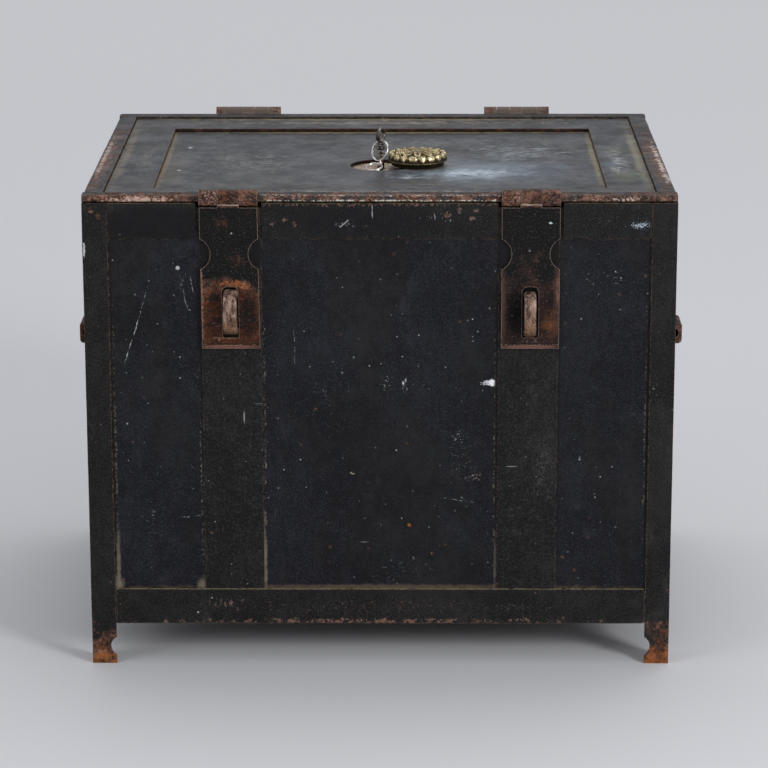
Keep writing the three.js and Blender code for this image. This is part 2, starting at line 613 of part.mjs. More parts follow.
// Back plate with two lugs, bored along y for the ends of the bail.
function bracket(sign) {
  const { inner, outer, out, height, bore, corner, plate } = LUG;
  const sheet = span(sign, SIDE - FRAME.thick, SIDE);
  const along = [HANDLE.y - outer - plate.past, HANDLE.y + outer + plate.past];
  const backing = block(sheet, along, [HANDLE.z - plate.half, HANDLE.z + plate.half]);
  const lugs = [-1, 1].map((way) => {
    const thick = span(1, HANDLE.y + way * inner, HANDLE.y + way * outer);
    const z = [HANDLE.z - height / 2, HANDLE.z + height / 2];
    const radii = sign > 0 ? [0, corner, corner, 0] : [corner, 0, 0, corner];
    return alongY(roundedRect(...span(sign, SIDE - 1, SIDE + out), ...z, radii), thick);
  });
  const axis = [sign * (SIDE + HANDLE.out), HANDLE.z];
  const holes = rod("y", bore, [HANDLE.y - outer - 1, HANDLE.y + outer + 1], axis, 16);
  return cut(join(backing, ...lugs), holes);
}

// Round bar bent into a bail: a pin into each lug, an arm down from it, and the grip between the arms.
function bail(sign) {
  const { arm, end, bend, drop, bar } = HANDLE;
  const x = sign * (SIDE + HANDLE.out);
  const at = (y, z) => new THREE.Vector3(x, HANDLE.y + y, HANDLE.z + z);
  const route = new THREE.CurvePath();
  const line = (a, b) => route.add(new THREE.LineCurve3(a, b));
  const corner = (a, middle, b) => route.add(new THREE.QuadraticBezierCurve3(a, middle, b));
  line(at(-end, 0), at(-arm - bend, 0));
  corner(at(-arm - bend, 0), at(-arm, 0), at(-arm, -bend));
  line(at(-arm, -bend), at(-arm, bend - drop));
  corner(at(-arm, bend - drop), at(-arm, -drop), at(bend - arm, -drop));
  line(at(bend - arm, -drop), at(arm - bend, -drop));
  corner(at(arm - bend, -drop), at(arm, -drop), at(arm, bend - drop));
  line(at(arm, bend - drop), at(arm, -bend));
  corner(at(arm, -bend), at(arm, 0), at(arm + bend, 0));
  line(at(arm + bend, 0), at(end, 0));
  const section = new THREE.Shape().absarc(0, 0, bar, 0, Math.PI * 2);
  const options = { extrudePath: route, steps: 44, curveSegments: 5, bevelEnabled: false };
  return solid(new THREE.ExtrudeGeometry(section, options));
}

for (const [end, sign] of ENDS) {
  piece(`handle_bracket_${end}`, bracket(sign), rustyIron);
  piece(`handle_bail_${end}`, bail(sign), rustyIron);
}

// Stand the chest over the middle of its own outline, from the staples to the back hinges.
const outlineBack = HINGE.y + HINGE.radius;
chest.position.y = -(STAPLE.reach + outlineBack) / 2;

export default chest;
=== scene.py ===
"""Looks of an old iron strongbox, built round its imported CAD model.

Metres, in the CAD model's frame: X across the front, Y from the front to the back, Z up from the floor.
"""

import json
import math
from functools import partial

import bmesh
import bpy
from mathutils import Matrix, Vector, noise

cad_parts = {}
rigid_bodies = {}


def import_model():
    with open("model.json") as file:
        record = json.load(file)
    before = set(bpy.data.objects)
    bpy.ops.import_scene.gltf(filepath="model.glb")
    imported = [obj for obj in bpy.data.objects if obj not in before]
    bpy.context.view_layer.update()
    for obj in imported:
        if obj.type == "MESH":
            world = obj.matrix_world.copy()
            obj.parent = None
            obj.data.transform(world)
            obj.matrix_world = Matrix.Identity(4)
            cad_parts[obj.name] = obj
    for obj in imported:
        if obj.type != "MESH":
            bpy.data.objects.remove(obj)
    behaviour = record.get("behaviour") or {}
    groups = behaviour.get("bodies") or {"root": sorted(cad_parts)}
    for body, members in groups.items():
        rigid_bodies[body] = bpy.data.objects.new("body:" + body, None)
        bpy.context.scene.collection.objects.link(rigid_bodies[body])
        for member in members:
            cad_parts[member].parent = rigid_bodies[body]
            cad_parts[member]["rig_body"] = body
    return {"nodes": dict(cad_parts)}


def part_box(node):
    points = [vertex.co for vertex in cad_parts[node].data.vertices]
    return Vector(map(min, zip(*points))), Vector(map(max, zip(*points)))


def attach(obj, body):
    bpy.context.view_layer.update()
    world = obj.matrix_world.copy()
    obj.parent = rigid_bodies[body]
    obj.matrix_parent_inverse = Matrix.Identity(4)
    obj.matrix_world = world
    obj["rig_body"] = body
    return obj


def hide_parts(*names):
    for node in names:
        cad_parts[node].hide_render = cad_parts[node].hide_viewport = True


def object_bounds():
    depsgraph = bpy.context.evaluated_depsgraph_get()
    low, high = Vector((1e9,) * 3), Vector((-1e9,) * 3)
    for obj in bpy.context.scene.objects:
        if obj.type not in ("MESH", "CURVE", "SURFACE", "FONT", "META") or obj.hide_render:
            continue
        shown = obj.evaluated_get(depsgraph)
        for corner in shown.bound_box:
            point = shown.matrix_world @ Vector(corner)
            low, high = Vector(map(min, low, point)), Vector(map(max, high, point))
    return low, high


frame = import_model()
cad_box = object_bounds()
MM = 0.001


# ---------------------------------------------------------------- camera, light and floor

CAMERA_PLACE = (0.0246, -3.61345, 1.2135)
CAMERA_PITCH, CAMERA_ROLL, CAMERA_YAW = 14.854, -0.073, 0.343  # degrees
CAMERA_LENS = 150


def make_camera():
    data = bpy.data.cameras.new("camera")
    data.lens = CAMERA_LENS
    data.sensor_width = 36
    data.clip_start, data.clip_end = 0.05, 200
    camera = bpy.data.objects.new("camera", data)
    yaw = Matrix.Rotation(math.radians(CAMERA_YAW), 4, "Z")
    pitch = Matrix.Rotation(math.radians(90 - CAMERA_PITCH), 4, "X")
    roll = Matrix.Rotation(math.radians(CAMERA_ROLL), 4, "Z")
    camera.matrix_world = Matrix.Translation(CAMERA_PLACE) @ yaw @ pitch @ roll
    bpy.context.scene.collection.objects.link(camera)
    bpy.context.scene.camera = camera


def softbox(name, place, aim, size, power):
    """A rectangular area light of that size, in metres, at place and pointing at aim."""
    data = bpy.data.lights.new(name, "AREA")
    data.shape = "RECTANGLE"
    data.size, data.size_y = size
    data.energy = power
    light = bpy.data.objects.new(name, data)
    light.location = place
    light.rotation_euler = (Vector(aim) - Vector(place)).to_track_quat("-Z", "Y").to_euler()
    bpy.context.scene.collection.objects.link(light)


def make_studio():
    bpy.context.scene.view_settings.view_transform = "Standard"
    world = bpy.data.worlds.new("studio")
    world.use_nodes = True
    background = world.node_tree.nodes["Background"]
    background.inputs["Color"].default_value = (0.655, 0.665, 0.70, 1)
    background.inputs["Strength"].default_value = 0.79
    bpy.context.scene.world = world
    softbox("key_right", (3.3, -3.6, 2.1), (0, -0.1, 0.3), (1.2, 1.2), 125)
    softbox("fill_left", (-3.4, -2.6, 1.8), (0, 0, 0.3), (1.8, 1.8), 28)
    softbox("overhead", (0.3, 0.9, 3.4), (0, 0, 0.4), (2.4, 2.0), 34)


def make_floor():
    mesh = bpy.data.meshes.new("floor")
    half = 40
    mesh.from_pydata([(-half, -half, 0), (half, -half, 0), (half, half, 0), (-half, half, 0)], [], [(0, 1, 2, 3)])
    floor = bpy.data.objects.new("floor", mesh)
    bpy.context.scene.collection.objects.link(floor)
    look = Finish("floor_pale")
    cloud = look.noise(0.35, detail=3)
    near = look.mix(cloud, (0.62, 0.625, 0.645), (0.67, 0.675, 0.695))
    # The floor is laid paler with distance: painted light that makes up for the lamps' fall-off far away.
    away = look.vector("LENGTH", look.place, output="Value")
    look.colour = look.mix(look.ramp(away, 0.8, 5.5), near, (0.955, 0.955, 0.965))
    floor.data.materials.append(look.shade(roughness=0.8, shine=0.2))


# ---------------------------------------------------------------- materials

def is_socket(value):
    return isinstance(value, bpy.types.NodeSocket)


class Finish:
    """A material in the making. Each call adds nodes and gives back the socket that they end in.

    Places in it are in the CAD model's frame at rest, and stay with the piece when it moves. colour is what has been
    laid on it so far.
    """

    def __init__(self, name):
        self.material = bpy.data.materials.new(name)
        self.material.use_nodes = True
        self.tree = self.material.node_tree
        self.tree.nodes.clear()
        self.place = self.node("ShaderNodeTexCoord").outputs["Object"]

    def node(self, kind, **settings):
        made = self.tree.nodes.new(kind)
        for key, value in settings.items():
            setattr(made, key, value)
        return made

    def feed(self, socket, value):
        if is_socket(value):
            self.tree.links.new(value, socket)
        elif socket.type == "RGBA":
            socket.default_value = (*value[:3], 1)
        else:
            socket.default_value = value

    def math(self, operation, a, b=0.0, c=0.0, clamp=False):
        made = self.node("ShaderNodeMath", operation=operation, use_clamp=clamp)
        for socket, value in zip(made.inputs, (a, b, c)):
            self.feed(socket, value)
        return made.outputs[0]

    def vector(self, operation, a, b=(0, 0, 0), output="Vector"):
        made = self.node("ShaderNodeVectorMath", operation=operation)
        self.feed(made.inputs[0], a)
        if operation == "SCALE":
            self.feed(made.inputs["Scale"], b)
        else:
            self.feed(made.inputs[1], b)
        return made.outputs[output]

    def times(self, *values):
        total = values[0]
        for value in values[1:]:
            total = self.math("MULTIPLY", total, value)
        return total

    def most(self, *values):
        total = values[0]
        for value in values[1:]:
            total = self.math("MAXIMUM", total, value)
        return total

    def ramp(self, value, low, high, to_low=0.0, to_high=1.0):
        made = self.node("ShaderNodeMapRange", interpolation_type="SMOOTHSTEP", clamp=True)
        for socket, number in zip(made.inputs, (value, low, high, to_low, to_high)):
            self.feed(socket, number)
        return made.outputs[0]

    def mix(self, factor, a, b, blend="MIX"):
        made = self.node("ShaderNodeMix", data_type="RGBA", blend_type=blend, clamp_factor=True)
        for index, value in ((0, factor), (6, a), (7, b)):
            self.feed(made.inputs[index], value)
        return made.outputs[2]

    def stretched(self, stretch, turn=(0, 0, 0), shift=(0, 0, 0)):
        made = self.node("ShaderNodeMapping", vector_type="POINT")
        self.feed(made.inputs["Vector"], self.place)
        made.inputs["Scale"].default_value = stretch
        made.inputs["Rotation"].default_value = [math.radians(angle) for angle in turn]
        made.inputs["Location"].default_value = shift
        return made.outputs["Vector"]

    def moved(self, *shift):
        return self.stretched((1, 1, 1), shift=shift)

    def noise(self, scale, detail=4.0, rough=0.55, at=None, bend=0.0):
        made = self.node("ShaderNodeTexNoise", noise_dimensions="3D")
        self.feed(made.inputs["Vector"], at or self.place)
        made.inputs["Scale"].default_value = scale
        made.inputs["Detail"].default_value = detail
        made.inputs["Roughness"].default_value = rough
        made.inputs["Distortion"].default_value = bend
        return made.outputs["Fac"]

    def specks(self, scale, radius, share, at=None):
        """Small dots in a share of the cells of a pattern with scale cells to the metre; radius is in cells."""
        made = self.node("ShaderNodeTexVoronoi", feature="F1", voronoi_dimensions="3D")
        self.feed(made.inputs["Vector"], at or self.place)
        made.inputs["Scale"].default_value = scale
        split = self.node("ShaderNodeSeparateColor")
        self.tree.links.new(made.outputs["Color"], split.inputs[0])
        chosen = self.math("LESS_THAN", split.outputs[0], share)
        size = self.math("MULTIPLY", split.outputs[1], radius)
        dot = self.ramp(self.math("DIVIDE", made.outputs["Distance"], size), 1.0, 0.55)
        return self.times(dot, chosen, split.outputs[2])

    def edges(self, radius):
        """1 on a sharp or bevelled edge of the piece, falling to 0 by about radius from it."""
        rounded = self.node("ShaderNodeBevel", samples=4)
        rounded.inputs["Radius"].default_value = radius
        true = self.node("ShaderNodeNewGeometry")
        turned = self.vector("DOT_PRODUCT", rounded.outputs[0], true.outputs["True Normal"], "Value")
        return self.ramp(turned, 0.992, 0.90)

    def corners(self, distance):
        """1 deep in a corner between pieces, falling to 0 by about distance from it."""
        made = self.node("ShaderNodeAmbientOcclusion", samples=5)
        made.inputs["Distance"].default_value = distance
        return self.ramp(made.outputs["AO"], 0.97, 0.55)

    def height(self):
        split = self.node("ShaderNodeSeparateXYZ")
        self.tree.links.new(self.place, split.inputs[0])
        return split.outputs[2]

    def facing(self, direction):
        """1 where the face looks in that direction, -1 where it looks the other way."""
        true = self.node("ShaderNodeNewGeometry")
        local = self.node("ShaderNodeVectorTransform", vector_type="NORMAL")
        local.convert_from, local.convert_to = "WORLD", "OBJECT"
        self.tree.links.new(true.outputs["True Normal"], local.inputs[0])
        return self.vector("DOT_PRODUCT", local.outputs[0], direction, "Value")

    def spot(self, centre, size, ragged=0.5, scale=120.0, soft=0.5):
        """A patch round centre, with half sizes size, whose outline is broken up by noise."""
        away = self.vector("SUBTRACT", self.place, [c * MM for c in centre])
        scaled = self.vector("DIVIDE", away, [s * MM for s in size])
        length = self.vector("LENGTH", scaled, output="Value")
        wobble = self.math("SUBTRACT", self.noise(scale, 5, 0.65), 0.5)
        length = self.math("MULTIPLY_ADD", wobble, 2 * ragged, length)
        return self.ramp(length, 1.0, 1.0 - soft)

    def grit(self, patch, fill, scale, stretch=(1, 1, 1), turn=(0, 0, 0)):
        """Fine crumbs over a patch. Where the patch is 1, they cover about that share of it."""
        crumbs = self.noise(scale, 4, 0.75, at=self.stretched(stretch, turn))
        cover = self.math("MULTIPLY_ADD", patch, 0.14 + fill * 0.3, crumbs)
        return self.ramp(cover, 0.80, 0.86)

    def scratch(self, start, end, width, broken=0.5):
        """A thin line from start to end that wavers a little and is broken up along its length."""
        a, b = (Vector(p) * MM for p in (start, end))
        along = b - a
        sway = self.node("ShaderNodeTexNoise", noise_dimensions="3D")
        self.feed(sway.inputs["Vector"], self.place)
        sway.inputs["Scale"].default_value = 90
        sway = self.vector("SCALE", self.vector("SUBTRACT", sway.outputs["Color"], (0.5, 0.5, 0.5)), 3 * MM)
        away = self.vector("ADD", self.vector("SUBTRACT", self.place, a), sway)
        share = self.vector("DOT_PRODUCT", away, along / along.length_squared, "Value")
        share = self.math("MAXIMUM", self.math("MINIMUM", share, 1.0), 0.0)
        foot = self.vector("SCALE", tuple(along), share)
        distance = self.vector("DISTANCE", away, foot, "Value")
        line = self.ramp(distance, width * MM, width * MM * 0.2)
        return self.math("MULTIPLY", line, self.ramp(self.noise(330, 4, 0.7), broken, broken + 0.16))

    def bumped(self, *layers):
        """A normal made of (height, distance in millimetres) layers, the broadest first."""
        normal = None
        for height, distance in layers:
            made = self.node("ShaderNodeBump")
            made.inputs["Strength"].default_value = 1.0
            made.inputs["Distance"].default_value = distance * MM
            self.feed(made.inputs["Height"], height)
            if normal is not None:
                self.tree.links.new(normal, made.inputs["Normal"])
            normal = made.outputs[0]
        return normal

    def lay(self, mask, colour):
        """Lays a colour over what is there, as far as the mask says."""
        self.colour = self.mix(mask, self.colour, colour)

    def shade(self, roughness, metal=0.0, normal=None, shine=0.5):
        shader = self.node("ShaderNodeBsdfPrincipled")
        self.feed(shader.inputs["Base Color"], self.colour)
        self.feed(shader.inputs["Roughness"], roughness)
        self.feed(shader.inputs["Metallic"], metal)
        shader.inputs["Specular IOR Level"].default_value = shine
        if normal is not None:
            self.tree.links.new(normal, shader.inputs["Normal"])
        end = self.node("ShaderNodeOutputMaterial")
        self.tree.links.new(shader.outputs[0], end.inputs["Surface"])
        return self.material


# Linear colours that several finishes share.
RUST_DARK = (0.016, 0.008, 0.006)
RUST_BROWN = (0.075, 0.032, 0.020)
RUST_PINK = (0.27, 0.150, 0.110)
RUST_ORANGE = (0.26, 0.085, 0.026)
WORN_PALE = (0.46, 0.38, 0.32)
OCHRE = (0.22, 0.175, 0.095)
DUST = (0.130, 0.095, 0.062)
CHALK = (0.55, 0.57, 0.59)
RED_BROWN = (0.062, 0.022, 0.013)
# Near black for painted shade: laid in corners and creases, along the bars and in the hasps' notches and slots.
SHADE_BLACK = (0.005, 0.005, 0.006)
OLD_BLACK = (0.0045, 0.0044, 0.0046)


def rust_colour(look, orange=0.25, pink=0.7):
    """Mottled rust, from near black through brown to pink, with some orange in it."""
    blotch = look.noise(115, 5, 0.68)
    grain = look.noise(430, 4, 0.78, at=look.moved(2, 2, 5))
    broad = look.noise(52, 4, 0.6, at=look.moved(4, 8, 2))
    colour = look.mix(look.ramp(blotch, 0.43, 0.57), RUST_DARK, RUST_BROWN)
    pink_here = look.ramp(broad, 0.40, 0.58, 0.25 * pink, pink)
    colour = look.mix(look.times(look.ramp(grain, 0.46, 0.60), pink_here), colour, RUST_PINK)
    colour = look.mix(look.times(look.ramp(blotch, 0.52, 0.62), pink_here, 0.6), colour, RUST_PINK)
    bloom = look.noise(70, 5, 0.65, at=look.moved(3, 1, 7))
    colour = look.mix(look.times(look.ramp(bloom, 0.50, 0.62), orange), colour, RUST_ORANGE)
    colour = look.mix(look.ramp(grain, 0.42, 0.34), colour, RUST_DARK)
    return colour, grain


def painted(
    name, tones, rust=0.12, edge=0.75, edge_width=1.1, dust=0.5, specks=1.0, rough=0.42, marks=(),
    ledge=0.0, streaks=(1, 1, 0.06), streak=0.05, contrast=1.0, rust_pink=0.7, orange=0.25, shine=0.15, grime=0.0,
    tint=None, wear=RUST_PINK, top_only=False,
):
    """Old paint on iron. tones are its two tints; rust, edge, dust and specks say how much of each shows.

    marks are functions that lay a mark of their own on the look they are given.
    """
    look = Finish(name)
    cloudy = look.noise(11, 5, 0.66)
    mottled = look.noise(75, 5, 0.72, at=look.moved(8, 3, 4))
    streaky = look.noise(330, 3, 0.6, at=look.stretched(streaks))
    fine = look.noise(620, 4, 0.8)
    tone = look.math("MULTIPLY_ADD", cloudy, 0.36, look.math("MULTIPLY", mottled, 0.30))
    tone = look.math("MULTIPLY_ADD", streaky, streak, tone)
    tone = look.math("MULTIPLY_ADD", fine, 0.40 - streak, tone)
    middle = (0.36 + 0.30 + 0.40) / 2
    look.colour = look.mix(look.ramp(tone, middle - 0.07 / contrast, middle + 0.09 / contrast), *tones)
    pale = [min(1, t * 2.6 + 0.012) for t in tones[1]]
    look.lay(look.ramp(fine, 0.50, 0.66, 0.0, 0.62), pale)
    grease = look.noise(24, 6, 0.75, at=look.stretched((1, 1, 0.5), shift=(3, 9, 6)))
    look.lay(look.times(look.ramp(grease, 0.52, 0.68), look.ramp(mottled, 0.42, 0.60), 0.34), pale)
    look.lay(look.ramp(streaky, 0.60, 0.74, 0.0, streak * 2.5), pale)
    if tint:
        drift = look.noise(9, 5, 0.7, at=look.stretched((1, 1, 0.6), shift=(6, 6, 1)))
        plain = look.mix(look.ramp(tone, middle - 0.08, middle + 0.09), *tint)
        look.lay(look.ramp(drift, 0.44, 0.58, 0.0, 0.75), plain)

    rusty, grain = rust_colour(look, orange, rust_pink)
    look.rusty = rusty
    patchy = look.noise(34, 6, 0.72, at=look.moved(5, 2, 9))
    bare_edge = look.edges(edge_width * MM)
    nibble = look.noise(170, 5, 0.72, at=look.moved(1, 8, 3))
    bare_edge = look.math("MULTIPLY", bare_edge, look.ramp(nibble, 0.64 - edge * 0.36, 0.74 - edge * 0.36))
    worn = look.math("MULTIPLY_ADD", nibble, 0.35, look.math("MULTIPLY", patchy, 0.65))
    bloom = look.ramp(worn, 0.70 - rust * 0.36, 0.735 - rust * 0.34)
    chipped = look.specks(70, 0.24, 0.10 + rust * 0.4)
    bare = look.most(bare_edge, bloom, chipped)
    look.lay(bare, rusty)
    look.lay(look.times(bare_edge, look.ramp(grain, 0.40, 0.55), 0.65), wear)

    corner = look.corners(2.6 * MM)
    crack = look.times(corner, look.ramp(look.noise(110, 5, 0.7), 0.42, 0.58), dust)
    # Painted shade: near black laid in corners and creases between pieces, where shade falls.
    crease_shade = look.times(look.corners(4.2 * MM), look.ramp(cloudy, 0.40, 0.50))
    look.lay(look.most(look.times(corner, 0.6), look.times(crease_shade, 0.85)), SHADE_BLACK)
    look.lay(crack, DUST)
    if grime:
        level = look.facing((0, 0, 1))
        near = look.times(look.corners(13 * MM), look.ramp(look.noise(85, 5, 0.75), 0.36, 0.56), grime)
        look.lay(look.times(near, look.ramp(level, 0.6, 0.9)), OCHRE)
        riser = look.times(look.ramp(level, 0.75, 0.35), look.ramp(level, -0.75, -0.35))
        riser = look.times(riser, look.ramp(look.noise(60, 4, 0.6), 0.30, 0.40))
        look.lay(riser, look.mix(look.ramp(nibble, 0.50, 0.60), RUST_DARK, RED_BROWN))
    if ledge:
        up = look.times(look.ramp(look.facing((0, 0, 1)), 0.5, 0.9), ledge)
        look.lay(look.times(up, look.ramp(look.noise(120, 5, 0.7), 0.35, 0.55)), OCHRE)

    flecks = look.times(look.specks(64, 0.10, 0.14), 0.8 * specks)
    crowd = look.ramp(look.noise(14, 3, at=look.moved(9, 9, 2)), 0.42, 0.62, 0.3, 1.0)
    tiny = look.times(look.specks(170, 0.20, 0.22), crowd, 0.55 * specks)
    hairs = look.times(look.specks(34, 0.075, 0.25, at=look.stretched((1, 1, 0.12), turn=(0, 9, 0))), 0.4 * specks)
    hair_2 = look.times(look.specks(38, 0.06, 0.25, at=look.stretched((0.10, 1, 1), turn=(0, 24, 0))), 0.4 * specks)
    look.lay(look.most(flecks, tiny, hairs, hair_2), CHALK)
    unmarked = look.colour
    for mark in marks:
        mark(look)
    if top_only:
        look.colour = look.mix(look.ramp(look.facing((0, 0, 1)), 0.3, 0.8), unmarked, look.colour)

    roughness = look.ramp(look.noise(26, 5, 0.7), 0.3, 0.7, rough - 0.08, rough + 0.12)
    roughness = look.math("MULTIPLY_ADD", bare, 0.25, roughness)
    normal = look.bumped(
        (look.noise(9, 2), 1.6),
        (mottled, 0.22),
        (look.math("MULTIPLY", bare, grain), 0.35),
        (fine, 0.05),
    )
    return look.shade(roughness, normal=normal, shine=shine)


def rusted(
    name, paint=0.3, orange=0.3, pale=0.25, marks=(), above=None, pink=0.7, shine=0.2,
):
    """Forged iron gone brown, with what is left of its black paint, and its edges rubbed pale.

    above is a height in millimetres over which no paint is left.
    """
    look = Finish(name)
    rusty, grain = rust_colour(look, orange, pink)
    look.rusty = rusty
    left = look.noise(34, 6, 0.7, at=look.moved(2, 4, 1))
    amount = look.math("MULTIPLY_ADD", grain, 0.25, look.math("MULTIPLY", left, 0.75))
    painted_part = look.ramp(amount, 0.72 - paint * 0.46, 0.70 - paint * 0.46 + 0.10)
    if above:
        painted_part = look.times(painted_part, look.ramp(look.height(), above * MM, (above - 2) * MM))
    fine = look.noise(560, 4, 0.8)
    paint_colour = look.mix(look.ramp(fine, 0.46, 0.70), OLD_BLACK, [t * 3 + 0.004 for t in OLD_BLACK])
    look.colour = look.mix(painted_part, rusty, paint_colour)
    for mark in marks:
        mark(look)
    nibble = look.ramp(look.noise(150, 4), 0.28, 0.40)
    bright = look.math("MULTIPLY", look.edges(1.0 * MM), nibble)
    look.lay(look.times(bright, 0.85), look.mix(grain, RUST_PINK, WORN_PALE))
    look.lay(look.times(look.ramp(grain, 0.57, 0.70), pale), WORN_PALE)
    flecks = look.times(look.specks(75, 0.12, 0.12), 0.7)
    look.lay(flecks, CHALK)
    roughness = look.ramp(look.noise(60, 4), 0.3, 0.7, 0.48, 0.72)
    normal = look.bumped((left, 0.4), (grain, 0.28), (look.noise(800, 3), 0.05))
    return look.shade(roughness, metal=0.1, normal=normal, shine=shine)


def bare_iron(name, dark=RUST_BROWN, light=WORN_PALE, rough=0.42, metal=0.55, low_rust=None):
    """Iron rubbed bare by use. Below low_rust, a height in millimetres, it is browner."""
    look = Finish(name)
    patch = look.noise(190, 5, 0.72, at=look.stretched((1, 1, 0.35)))
    pits = look.noise(560, 4, 0.78)
    look.colour = look.mix(look.ramp(patch, 0.40, 0.60), dark, light)
    look.lay(look.ramp(pits, 0.49, 0.62, 0.0, 0.8), (0.085, 0.042, 0.027))
    look.lay(look.ramp(pits, 0.44, 0.36, 0.0, 0.8), RUST_DARK)
    if low_rust:
        height = look.math("MULTIPLY_ADD", look.noise(120, 4), 0.03, look.height())
        low = look.ramp(height, (low_rust + 38) * MM, (low_rust + 10) * MM, 0.0, 0.85)
        low_colour = look.mix(look.ramp(pits, 0.40, 0.58), (0.040, 0.016, 0.008), (0.27, 0.135, 0.065))
        look.lay(low, low_colour)
    # Near white along the edges: rubbed bright, and a painted highlight along them.
    bright = look.times(look.edges(1.3 * MM), look.ramp(patch, 0.36, 0.50), 0.9)
    look.lay(bright, (0.66, 0.60, 0.55))
    roughness = look.ramp(pits, 0.3, 0.7, rough - 0.1, rough + 0.2)
    normal = look.bumped((patch, 0.35), (pits, 0.16))
    return look.shade(roughness, metal=metal, normal=normal)


def brass_finish():
    """Dull cast brass: bright where it stands up, green-black where it is hollow."""
    look = Finish("brass_worn")
    relief = look.node("ShaderNodeAttribute", attribute_name="relief").outputs["Fac"]
    mottle = look.noise(520, 4, 0.75)
    blotch = look.noise(140, 4, 0.7)
    body = look.mix(look.ramp(mottle, 0.40, 0.60), (0.070, 0.056, 0.026), (0.32, 0.245, 0.120))
    body = look.mix(look.ramp(blotch, 0.46, 0.58, 0.0, 0.8), body, (0.105, 0.100, 0.062))
    look.colour = look.mix(look.ramp(relief, 0.26, 0.54), (0.024, 0.019, 0.010), body)
    look.lay(look.ramp(relief, 0.58, 0.86, 0.0, 0.8), (0.66, 0.54, 0.30))
    look.lay(look.ramp(look.noise(260, 4, 0.7), 0.60, 0.70, 0.0, 0.5), (0.20, 0.085, 0.04))
    roughness = look.ramp(relief, 0.3, 0.9, 0.60, 0.30)
    return look.shade(roughness, metal=0.8, normal=look.bumped((blotch, 0.3), (mottle, 0.2)))


def steel_ring(name, light, dark):
    look = Finish(name)
    worn = look.noise(600, 4, 0.7)
    look.colour = look.mix(look.ramp(worn, 0.50, 0.66), light, dark)
    return look.shade(look.ramp(worn, 0.3, 0.7, 0.18, 0.40), metal=0.9, normal=look.bumped((worn, 0.05)))


def bronze_seat():
    look = Finish("seat_bronze")
    mottle = look.noise(240, 5, 0.72)
    look.colour = look.mix(look.ramp(mottle, 0.38, 0.62), (0.20, 0.145, 0.105), (0.50, 0.400, 0.300))
    # Painted shade: dark in the seat's corners, under the step of its recess.
    look.lay(look.corners(4 * MM), (0.020, 0.014, 0.009))
    look.lay(look.times(look.edges(1.2 * MM), 0.8), (0.40, 0.32, 0.22))
    return look.shade(look.ramp(mottle, 0.3, 0.7, 0.42, 0.66), metal=0.5, normal=look.bumped((mottle, 0.12)))


# ---------------------------------------------------------------- meshes

def finished(name, bm, material, body, nodes=(), slot=None, sharp=40.0, flat_weighted=True):
    """Makes the mesh a smooth-shaded piece that rides on a body and stands for CAD nodes."""
    bmesh.ops.recalc_face_normals(bm, faces=bm.faces)
    mesh = bpy.data.meshes.new(name)
    bm.to_mesh(mesh)
    bm.free()
    mesh.shade_smooth()
    mesh.set_sharp_from_angle(angle=math.radians(sharp))
    mesh.materials.append(material)
    made = bpy.data.objects.new(name, mesh)
    bpy.context.scene.collection.objects.link(made)
    if flat_weighted:
        weighted = made.modifiers.new("weighted_normals", "WEIGHTED_NORMAL")
        weighted.keep_sharp = True
    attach(made, body)
    if nodes:
        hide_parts(*nodes)
    return made


def from_node(node):
    """The CAD node's solid with its flat faces whole again."""
    bm = bmesh.new()
    bm.from_mesh(frame["nodes"][node].data)
    bmesh.ops.remove_doubles(bm, verts=bm.verts, dist=0.002 * MM)
    bmesh.ops.dissolve_limit(bm, angle_limit=math.radians(0.4), verts=bm.verts, edges=bm.edges)
    return bm


def ease_edges(bm, width, segments):
    """Bevels each edge that turns by more than 30 degrees."""
    sharp = [e for e in bm.edges if len(e.link_faces) == 2 and e.calc_face_angle() > math.radians(30)]
    bmesh.ops.bevel(
        bm, geom=sharp, offset=width * MM, offset_type="OFFSET", segments=segments,
        profile=0.5, affect="EDGES", clamp_overlap=True,
    )


def cut_up(bm, step):
    """Cuts the mesh by planes across X, Y and Z, no more than step millimetres apart."""
    for axis in range(3):
        values = [v.co[axis] for v in bm.verts]
        low, high = min(values), max(values)
        count = int((high - low) / (step * MM))
        for i in range(1, count + 1):
            point, normal = Vector(), Vector()
            point[axis] = low + (high - low) * i / (count + 1)
            normal[axis] = 1
            bmesh.ops.bisect_plane(
                bm, geom=bm.verts[:] + bm.edges[:] + bm.faces[:], plane_co=point, plane_no=normal, dist=1e-6
            )


def dent(bm, amount, size):
    """Moves each point a little, the same way for all pieces near one place, so that fitted pieces stay fitted."""
    for v in bm.verts:
        broad = noise.noise_vector(v.co / (size * MM))
        close = noise.noise_vector(v.co / (size * 0.3 * MM) + Vector((7, 3, 5)))
        v.co += (broad + close * 0.4) * amount * MM


def fine(node, material, slot, ease=0.9, segments=2, step=18.0, dents=0.22, size=40.0, bend=None):
    """A CAD node made again with eased edges and the small dents of old sheet iron.

    bend is a function that gives each point's new place, for a piece that has been knocked out of true.
    """
    bm = from_node(node)
    if bend:
        for v in bm.verts:
            v.co = bend(v.co)
    ease_edges(bm, ease, segments)
    if step:
        cut_up(bm, step)
        dent(bm, dents, size)
    return finished(f"{node}_fine", bm, material, frame["nodes"][node]["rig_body"], [node], slot)


